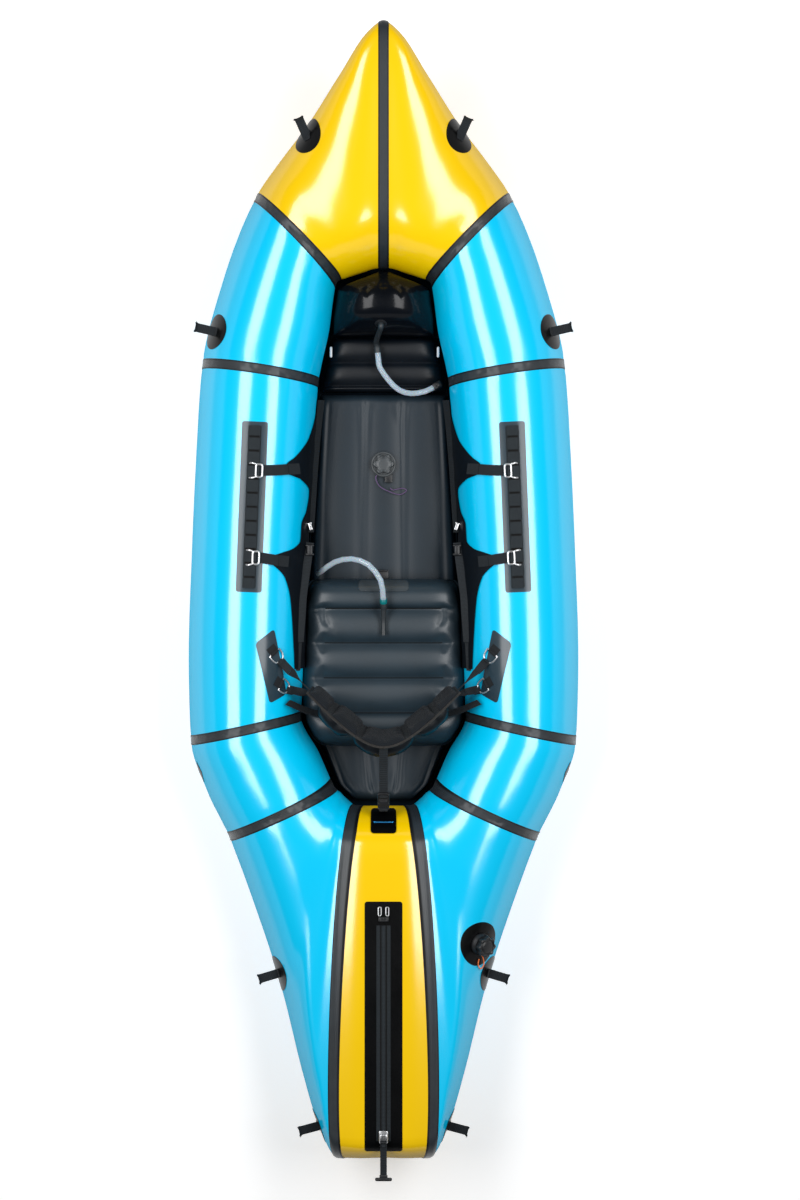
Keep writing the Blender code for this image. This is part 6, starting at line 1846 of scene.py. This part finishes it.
def build_ties():
    for label, (station, share, side, turn, climb) in TIE_PLACES.items():
        for hand, word in HANDS:
            node = "tie_down_" + label + "_" + word
            heading = turn if hand > 0 else 180.0 - turn
            spot = STATIONS.index(station) + share
            around = math.tau * side / RING_SIDES
            up = hull_normal(spot, around, hand)
            place = frame_from(bare_hull(spot, around, hand), up, heading)
            made = patch(node + "_patch", round_outline(TIE_PATCH_DIAMETER / 2), place, GLOSS_PATCH)
            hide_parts(node)
            outline = rounded_outline(0.02, 0.024, 0.002)
            pad = patch(node + "_pad", outline, place, WEBBING, 0.0028, 0.005)
            angle, lift = math.radians(heading), math.radians(climb)
            level = math.cos(lift)
            along = Vector((math.cos(angle) * level, math.sin(angle) * level, math.sin(lift)))
            across = along.cross(up.lerp(Vector((0.0, 0.0, 1.0)), TIE_TAB_TWIST)).normalized()
            rise = across.cross(along).normalized()
            start = place @ Vector((0.0, 0.0, 0.0034))
            end = start + along * TIE_TAB_LENGTH
            points = [start - along * 0.008, start + along * 0.01, end - along * 0.002 - rise * 0.0002,
                      end + rise * 0.0011, end - along * 0.002 + rise * 0.0024,
                      start + along * 0.008 + rise * 0.0022, start - along * 0.008 + rise * 0.0016]
            made = strap(node + "_loop", points, TIE_TAB_WIDTH, 0.0014, [across] * len(points), WEBBING)


build_ties()


# Valves

def cap_profile(radius, bottom, height):
    """Side of a cap: radius, height, and how deep the scallops are there."""
    return [(0.0, bottom, 0.0), (radius * 0.93, bottom, 1.0), (radius, bottom + height * 0.12, 1.0),
            (radius, bottom + height * 0.5, 1.0), (radius, bottom + height * 0.8, 1.0),
            (radius * 0.96, bottom + height * 0.94, 0.95), (radius * 0.9, bottom + height, 0.8),
            (radius * 0.78, bottom + height, 0.45), (radius * 0.72, bottom + height * 0.9, 0.2),
            (radius * 0.62, bottom + height * 0.86, 0.0), (radius * 0.5, bottom + height * 0.98, 0.0),
            (radius * 0.44, bottom + height, 0.0), (0.0, bottom + height, 0.0)]


MAIN_PATCH_RADIUS = 0.0525
MAIN_CAP = (0.0258, 0.0128, 0.0175)
MAIN_SCALLOPS = (0.0045, 8, 128)
FLOOR_CAP = (0.0262, 0.0056, 0.0125)
FLOOR_SCALLOPS = (0.0075, 6, 120)
MAIN_BASE_PROFILE = (
    (0.0, -0.004), (0.024, -0.004), (0.0265, 0.0015), (0.0265, 0.005), (0.0245, 0.0075), (0.024, 0.0115),
    (0.0235, 0.0125), (0.018, 0.0125), (0.018, 0.0215), (0.0165, 0.022), (0.0, 0.022),
)
FLOOR_BASE_PROFILE = (
    (0.0, -0.004), (0.0295, -0.004), (0.031, 0.001), (0.031, 0.0035), (0.0295, 0.0052),
    (0.0265, 0.0055), (0.0255, 0.0045), (0.0, 0.0045),
)


def valve_piece(name, mesh, material, node, body="hull"):
    made = finish_mesh(name, mesh, material, body)
    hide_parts(node)


def build_valves():
    patch("main_valve_patch", round_outline(MAIN_PATCH_RADIUS, 64), MAIN_VALVE, GLOSS_PATCH,
          spacing=0.005)
    valve_piece("main_valve_body", turned(MAIN_BASE_PROFILE, MAIN_VALVE), PLASTIC, "main_valve_base")
    cap = turned(cap_profile(*MAIN_CAP), MAIN_VALVE, *MAIN_SCALLOPS)
    valve_piece("main_valve_twist_cap", cap, PLASTIC, "main_valve_cap", "main_valve_cap")
    flange = turned(FLOOR_BASE_PROFILE, FLOOR_VALVE)
    valve_piece("floor_valve_flange", flange, GREY_PLASTIC, "floor_valve_base")
    cap = turned(cap_profile(*FLOOR_CAP), FLOOR_VALVE, *FLOOR_SCALLOPS)
    valve_piece("floor_valve_twist_cap", cap, GREY_PLASTIC, "floor_valve_cap", "floor_valve_cap")
    tab = rounded_block((0.019, 0.02, 0.0022), 0.0009, FLOOR_VALVE, (0.0125, -0.0345, 0.002))
    finish_mesh("floor_valve_tab", tab, PLASTIC)


build_valves()


# Stern deck zip

ZIP_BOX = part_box("zip_patch")
ZIP_TAPE_WIDTH = 0.033
ZIP_TAPE_LENGTH = 0.5
ZIP_TAPE_LIFT = 0.0012
ZIP_PATCH_WIDTH = 0.088
ZIP_RIB_HEIGHT = 0.0012
TEETH_HALF_WIDTH = 0.0036
TEETH_HEIGHT = 0.0026
STAPLE_LOOP = (0.0068, 0.0205, 0.0032)
STAPLE_WIRE = 0.0027
STAPLE_LIFT = 0.0032
PULL_RING = (0.018, 0.019, 0.006)
PULL_RING_WIRE = 0.0026
PULL_RING_SHIFT = -0.0085
PULL_STRAP_WIDTH = 0.0155
PULL_STRAP_THICKNESS = 0.002
ZIP_MIDDLE_Y = -1.022
ZIP_STAPLE_X = 0.0088
ZIP_STAPLE_Y = -0.7395
ZIP_STOP_Y = -0.7575


# Blocks of the stop, the slider and the pull's bar: size, radius of the edges, middle.
ZIP_STOP_BLOCKS = (
    ((0.024, 0.0105, 0.0042), 0.0016, (0.0, 0.0, 0.0042)),
    ((0.017, 0.0042, 0.004), 0.0013, (0.0, -0.003, 0.0072)),
    ((0.0034, 0.0075, 0.004), 0.0013, (-0.0062, 0.001, 0.0072)),
    ((0.0034, 0.0075, 0.004), 0.0013, (0.0, 0.001, 0.0072)),
    ((0.0034, 0.0075, 0.004), 0.0013, (0.0062, 0.001, 0.0072)),
)
ZIP_SLIDER_BLOCKS = (
    ((0.0215, 0.0235, 0.0035), 0.0016, (0.0, 0.0, 0.0)),
    ((0.0215, 0.021, 0.003), 0.0013, (0.0, 0.0, -0.0055)),
    ((0.0042, 0.014, 0.0075), 0.0016, (-0.0072, -0.0035, 0.0042)),
    ((0.0042, 0.014, 0.0075), 0.0016, (0.0072, -0.0035, 0.0042)),
    ((0.006, 0.006, 0.0075), 0.0016, (0.0, 0.0075, -0.0025)),
)
PULL_BAR_BLOCKS = (
    ((0.0395, 0.0085, 0.0072), 0.0034, (0.0, -0.0995, 0.0)),
    ((0.019, 0.012, 0.0058), 0.0024, (0.0, -0.0945, 0.0)),
)
# The pull's strap, through its ring and back: places along and up.
PULL_ROUTE = ((-0.03, -0.0018), (-0.02, -0.002), (-0.0145, 0.0), (-0.02, 0.0022), (-0.045, 0.0006),
              (-0.075, 0.0004), (-0.099, 0.0004))


def build_zip():
    """Cargo zip: patch, tape with teeth, staples and stop, slider and pull."""
    middle = (ZIP_BOX[0][1] + ZIP_BOX[1][1]) / 2
    length = ZIP_BOX[1][1] - ZIP_BOX[0][1]
    made = patch("zip_patch_cloth", rounded_outline(ZIP_PATCH_WIDTH, length, 0.006),
                 hull_frame(0.0, middle, 90.0), GLOSS_PATCH)
    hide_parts("zip_patch")
    mesh = flat_sheet(rounded_outline(ZIP_TAPE_WIDTH, ZIP_TAPE_LENGTH, 0.001, 2), 0.0011)
    for vertex in mesh.verts:
        x = abs(vertex.co.x)
        rib = ZIP_RIB_HEIGHT if 0.0075 < x < 0.0095 or 0.0125 < x < 0.0145 else 0.0
        teeth = TEETH_HEIGHT * math.sqrt(max(0.0, 1 - (x / TEETH_HALF_WIDTH) ** 2))
        vertex.co.z = ZIP_TAPE_LIFT + rib + teeth
    lay(mesh, hull_frame(0.0, ZIP_MIDDLE_Y, 90.0), ZIP_TAPE_LIFT)
    thicken(mesh, 0.0008)
    finish_mesh("zip_tape", mesh, ZIP_TAPE)
    for number, side in enumerate((-1, 1)):
        front = hull_frame(side * ZIP_STAPLE_X, ZIP_STAPLE_Y, 90.0)
        staple = wire("zip_staple_" + str(number), rounded_loop(*STAPLE_LOOP), STAPLE_WIRE,
                      front @ Matrix.Translation((0.0, 0.0, STAPLE_LIFT)), STEEL, "hull")
    stop = blocks(hull_frame(0.0, ZIP_STOP_Y, 90.0), *ZIP_STOP_BLOCKS)
    finish_mesh("zip_stop", stop, PLASTIC)

    along = Vector(JOINTS["zip_slide"]["axis"])
    place = frame_of_axes(ACROSS, along, ACROSS.cross(along), box_middle("zip_slider"))
    made = finish_mesh("zip_slider_body", blocks(place, *ZIP_SLIDER_BLOCKS), STEEL, "zip_slider")
    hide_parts("zip_slider")

    pull = place.copy()
    pull.translation = JOINTS["zip_pull_hinge"]["pos_m"]
    ring = wire("zip_pull_ring", rounded_loop(*PULL_RING), PULL_RING_WIRE,
                pull @ Matrix.Translation((0.0, PULL_RING_SHIFT, 0.0)), STEEL, "zip_pull")
    route = [pull @ Vector((0.0, y, z)) for y, z in PULL_ROUTE]
    made = strap("zip_pull_strap", route, PULL_STRAP_WIDTH, PULL_STRAP_THICKNESS,
                 [ACROSS] * len(route), WEBBING, "zip_pull")
    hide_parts("zip_pull")
    bar = finish_mesh("zip_pull_bar", blocks(pull, *PULL_BAR_BLOCKS), PLASTIC, "zip_pull")


build_zip()


# Stems, collars and small fittings

STEM_DIAMETER = 0.013
COLLAR_SHARE = 1.25
COLLAR_LENGTH = 0.0135
COLLAR_SLOPE = 0.003
FLANGE_PROFILE = ((0.0, -0.002), (0.0145, -0.001), (0.0145, 0.0012), (0.009, 0.003), (0.0, 0.003))
COLLAR_PROFILE = ((0.0, -0.0055), (0.0082, -0.0055), (0.0088, -0.0045), (0.0088, 0.0045),
                  (0.0082, 0.0055), (0.0, 0.0055))
BRACE_STEM_FOOT = (-0.0065, 0.645)
SEAT_STEM_START = Vector((0.0, -0.096, 0.1685))
SEAT_STEM_BEND = Vector((0.0, -0.06, 0.17))


def stem(name, node, points):
    """Rubber stem of a cushion, with a thicker collar that its hose pushes on to."""
    route = smooth_route(points, 6)
    length = route_length(route)
    radii, gone = [], 0.0
    for index, point in enumerate(route):
        gone += (point - route[index - 1]).length if index else 0.0
        slope = max(0.0, 1 - max(0.0, length - gone - COLLAR_LENGTH) / COLLAR_SLOPE)
        radii.append(1.0 + (COLLAR_SHARE - 1.0) * slope)
    made = tube(name, route, STEM_DIAMETER, RUBBER, radii=radii, detail=8)
    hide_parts(node)


def shape_of(name):
    """Shape of a finished piece, for laying others on it."""
    return BVHTree.FromObject(bpy.data.objects[name], bpy.context.evaluated_depsgraph_get())


def build_stems():
    start = BRACE_HOSE[0]
    back = (start - BRACE_HOSE[1]).normalized()
    above = Vector((*BRACE_STEM_FOOT, ABOVE))
    foot, out = shape_of("foot_brace_pillow_cover").ray_cast(above, DOWN)[:2]
    base = turned(FLANGE_PROFILE, frame_from(foot, out, 90.0), sides=40)
    finish_mesh("foot_brace_stem_flange", base, PLASTIC)
    points = [foot - out * 0.003, foot + out * 0.012, start + back * 0.03, start + back * 0.012, start]
    stem("foot_brace_rubber_stem", "foot_brace_stem", points)

    start = SEAT_HOSE[0]
    back = (start - SEAT_HOSE[1]).normalized()
    points = [SEAT_STEM_START, SEAT_STEM_START + Vector((0.0, 0.02, 0.0002)), SEAT_STEM_BEND,
              start + back * 0.013, start]
    stem("seat_rubber_stem", "seat_stem", points)
    collar_frame = (-back).to_track_quat("Z", "Y").to_matrix().to_4x4()
    collar_frame.translation = start - back * 0.001
    collar = turned(COLLAR_PROFILE, collar_frame, sides=40)
    finish_mesh("seat_hose_collar", collar, TEAL_PLASTIC)


SEAT_PATCH_SETBACK = 0.016
HOSE_CLIP_BLOCKS = (
    ((0.017, 0.022, 0.016), 0.0035, (0.0, 0.002, 0.0)),
    ((0.011, 0.01, 0.019), 0.0025, (0.0, 0.004, 0.001)),
)
SIDE_BUCKLE_BLOCKS = (
    ((0.015, 0.024, 0.008), 0.0036, (0.0, 0.0, 0.0)),
    ((0.021, 0.0055, 0.007), 0.0025, (0.0, 0.0105, 0.0)),
    ((0.021, 0.0055, 0.007), 0.0025, (0.0, -0.0105, 0.0)),
)
SIDE_CLIP_BLOCKS = (
    ((0.008, 0.017, 0.003), 0.0013, (0.0, 0.0, 0.0)),
    ((0.0125, 0.004, 0.003), 0.0013, (0.0, 0.008, 0.0)),
)
SEAT_TAB_BLOCKS = (
    ((0.034, 0.024, 0.0035), 0.0012, (0.0, 0.0, 0.0)),
    ((0.03, 0.0045, 0.007), 0.002, (0.0, 0.009, 0.002)),
)
BRACE_CLIP_X = {"left": 0.1265, "right": 0.1315}
DIAMOND = ((0.0, 0.026), (-0.014, 0.0), (0.0, -0.026), (0.014, 0.0))
DIAMOND_STATION = STATIONS.index("mid_seam") + 0.62
DIAMOND_TURN = math.tau * 0.9 / RING_SIDES

# Straps along the cockpit's right side: width, thickness, route, and the way across at each point.
SIDE_STRAPS = {
    "side_strap_": (0.025, 0.002, (
        (0.178, 0.125, 0.178), (0.186, 0.06, 0.193), (0.194, 0.0, 0.203), (0.198, -0.06, 0.206),
        (0.202, -0.112, 0.206),
    ), ((1.0, 0.1, 0.25), (1.0, 0.1, 0.25), (1.0, 0.1, 0.25), (1.0, 0.05, 0.25), (1.0, 0.0, 0.25))),
    "side_strap_end_": (0.022, 0.0018, (
        (0.2, -0.09, 0.2035), (0.204, -0.13, 0.2045), (0.2065, -0.18, 0.203),
    ), ((1.0, 0.0, 0.75),) * 3),
    "side_strip_": (0.02, 0.0016, (
        (0.150, 0.47, 0.11), (0.158, 0.40, 0.115), (0.166, 0.3, 0.125), (0.172, 0.2, 0.14),
        (0.175, 0.15, 0.16),
    ), ((0.8, 0.0, 0.6),) * 5),
}


def build_side_fittings(hand, word):
    """Clips, straps, buckle and diamond patch of one side of the cockpit."""
    spot = Matrix.Translation((hand * BRACE_CLIP_X[word], 0.585, 0.118))
    clip = rounded_block((0.0062, 0.026, 0.012), 0.0029, spot)
    finish_mesh("foot_brace_clip_" + word, clip, WHITE_PLASTIC)
    for name, (width, thickness, route, acrosses) in SIDE_STRAPS.items():
        points = [hand_point(point, hand) for point in route]
        across = [hand_point(way, hand) for way in acrosses]
        strap(name + word, points, width, thickness, across, TWILL)
    buckle = blocks(Matrix.Translation(hand_point((0.1755, 0.107, 0.188), hand)), *SIDE_BUCKLE_BLOCKS)
    finish_mesh("side_buckle_" + word, buckle, PLASTIC)
    spot = Matrix.Translation(hand_point((0.1745, 0.163, 0.178), hand))
    clip = blocks(spot @ Matrix.Rotation(-hand * 0.3, 4, "Z"), *SIDE_CLIP_BLOCKS)
    finish_mesh("side_clip_" + word, clip, STEEL)
    out = hull_normal(DIAMOND_STATION, DIAMOND_TURN, hand)
    place = frame_from(bare_hull(DIAMOND_STATION, DIAMOND_TURN, hand), out, 90.0)
    patch("diamond_patch_" + word, DIAMOND, place, GLOSS_PATCH, 0.0012, 0.006)


def build_fittings():
    """Small clips, buckles, patches and straps along the cockpit's sides."""
    place = (BRACE_HOSE[-1] - BRACE_HOSE[-2]).to_track_quat("Y", "Z").to_matrix().to_4x4()
    place.translation = BRACE_HOSE[-1]
    clip = blocks(place, *HOSE_CLIP_BLOCKS)
    finish_mesh("foot_brace_hose_clip", clip, PLASTIC)
    for hand, word in HANDS:
        build_side_fittings(hand, word)
    seat_y = SEAT_BOX[1][1]
    shape = shape_of("seat_cushion_cover")
    mesh = flat_sheet(rounded_outline(0.12, 0.026, 0.009), 0.004)
    for vertex in mesh.verts:
        origin = Vector((vertex.co.x, seat_y - SEAT_PATCH_SETBACK + vertex.co.y, ABOVE))
        point, normal = shape.ray_cast(origin, DOWN)[:2]
        vertex.co = point + normal * 0.002
    thicken(mesh, 0.0015)
    finish_mesh("seat_front_patch", mesh, GREY_PATCH)
    tab = blocks(Matrix.Translation((-0.005, seat_y + 0.012, 0.085)), *SEAT_TAB_BLOCKS)
    finish_mesh("seat_front_tab", tab, PLASTIC)


build_stems()
build_fittings()


# Studio

def build_lights():
    bpy.context.scene.view_settings.view_transform = "Standard"
    world = bpy.data.worlds.new("studio")
    bpy.context.scene.world = world
    world.use_nodes = True
    background = world.node_tree.nodes["Background"]
    background.inputs["Color"].default_value = (0.95, 0.98, 1.0, 1.0)
    background.inputs["Strength"].default_value = AMBIENT
    for name, side in (("softbox_left", -1), ("softbox_right", 1)):
        softbox(name, side * SOFTBOX_X)


def build_ground():
    """Pale floor that runs up into a backdrop all round. It stays white and keeps the boat's shadow."""
    mesh = bmesh.new()
    bmesh.ops.create_grid(mesh, x_segments=1, y_segments=1, size=FLOOR_HALF_WIDTH)
    rim = bmesh.ops.extrude_edge_only(mesh, edges=mesh.edges[:])["geom"]
    raised = [piece for piece in rim if isinstance(piece, bmesh.types.BMVert)]
    bmesh.ops.translate(mesh, vec=(0.0, 0.0, BACKDROP_HEIGHT), verts=raised)
    bmesh.ops.translate(mesh, vec=(0.0, 0.0, -0.0005), verts=mesh.verts)
    finish = Finish("studio_floor", Roughness=0.95, Base_Color=shade((FLOOR_COLOUR,) * 3, 1.0),
                    Specular_IOR_Level=0.0)
    seen, glossy, through = (finish.node("ShaderNodeLightPath", {}, {}, output) for output in
                             ("Is Camera Ray", "Is Glossy Ray", "Is Transmission Ray"))
    white = {"Color": (1.0, 1.0, 1.0, 1.0), "Strength": FLOOR_GLOW}
    glow = finish.node("ShaderNodeEmission", {}, white, "Emission")
    dark = finish.node("ShaderNodeEmission", {}, {"Strength": 0.0}, "Emission")
    share = (seen + glossy + through).clamp()
    added = finish.node("ShaderNodeMixShader", {}, {0: share, 1: dark, 2: glow}, "Shader")
    lit = Value(finish, finish.shader.outputs["BSDF"])
    whole = finish.node("ShaderNodeAddShader", {}, {0: lit, 1: added}, "Shader")
    finish.put(finish.tree.nodes["Material Output"].inputs["Surface"], whole)
    made = finish_mesh("studio_floor", mesh, finish.material, body=None)


build_lights()
build_ground()
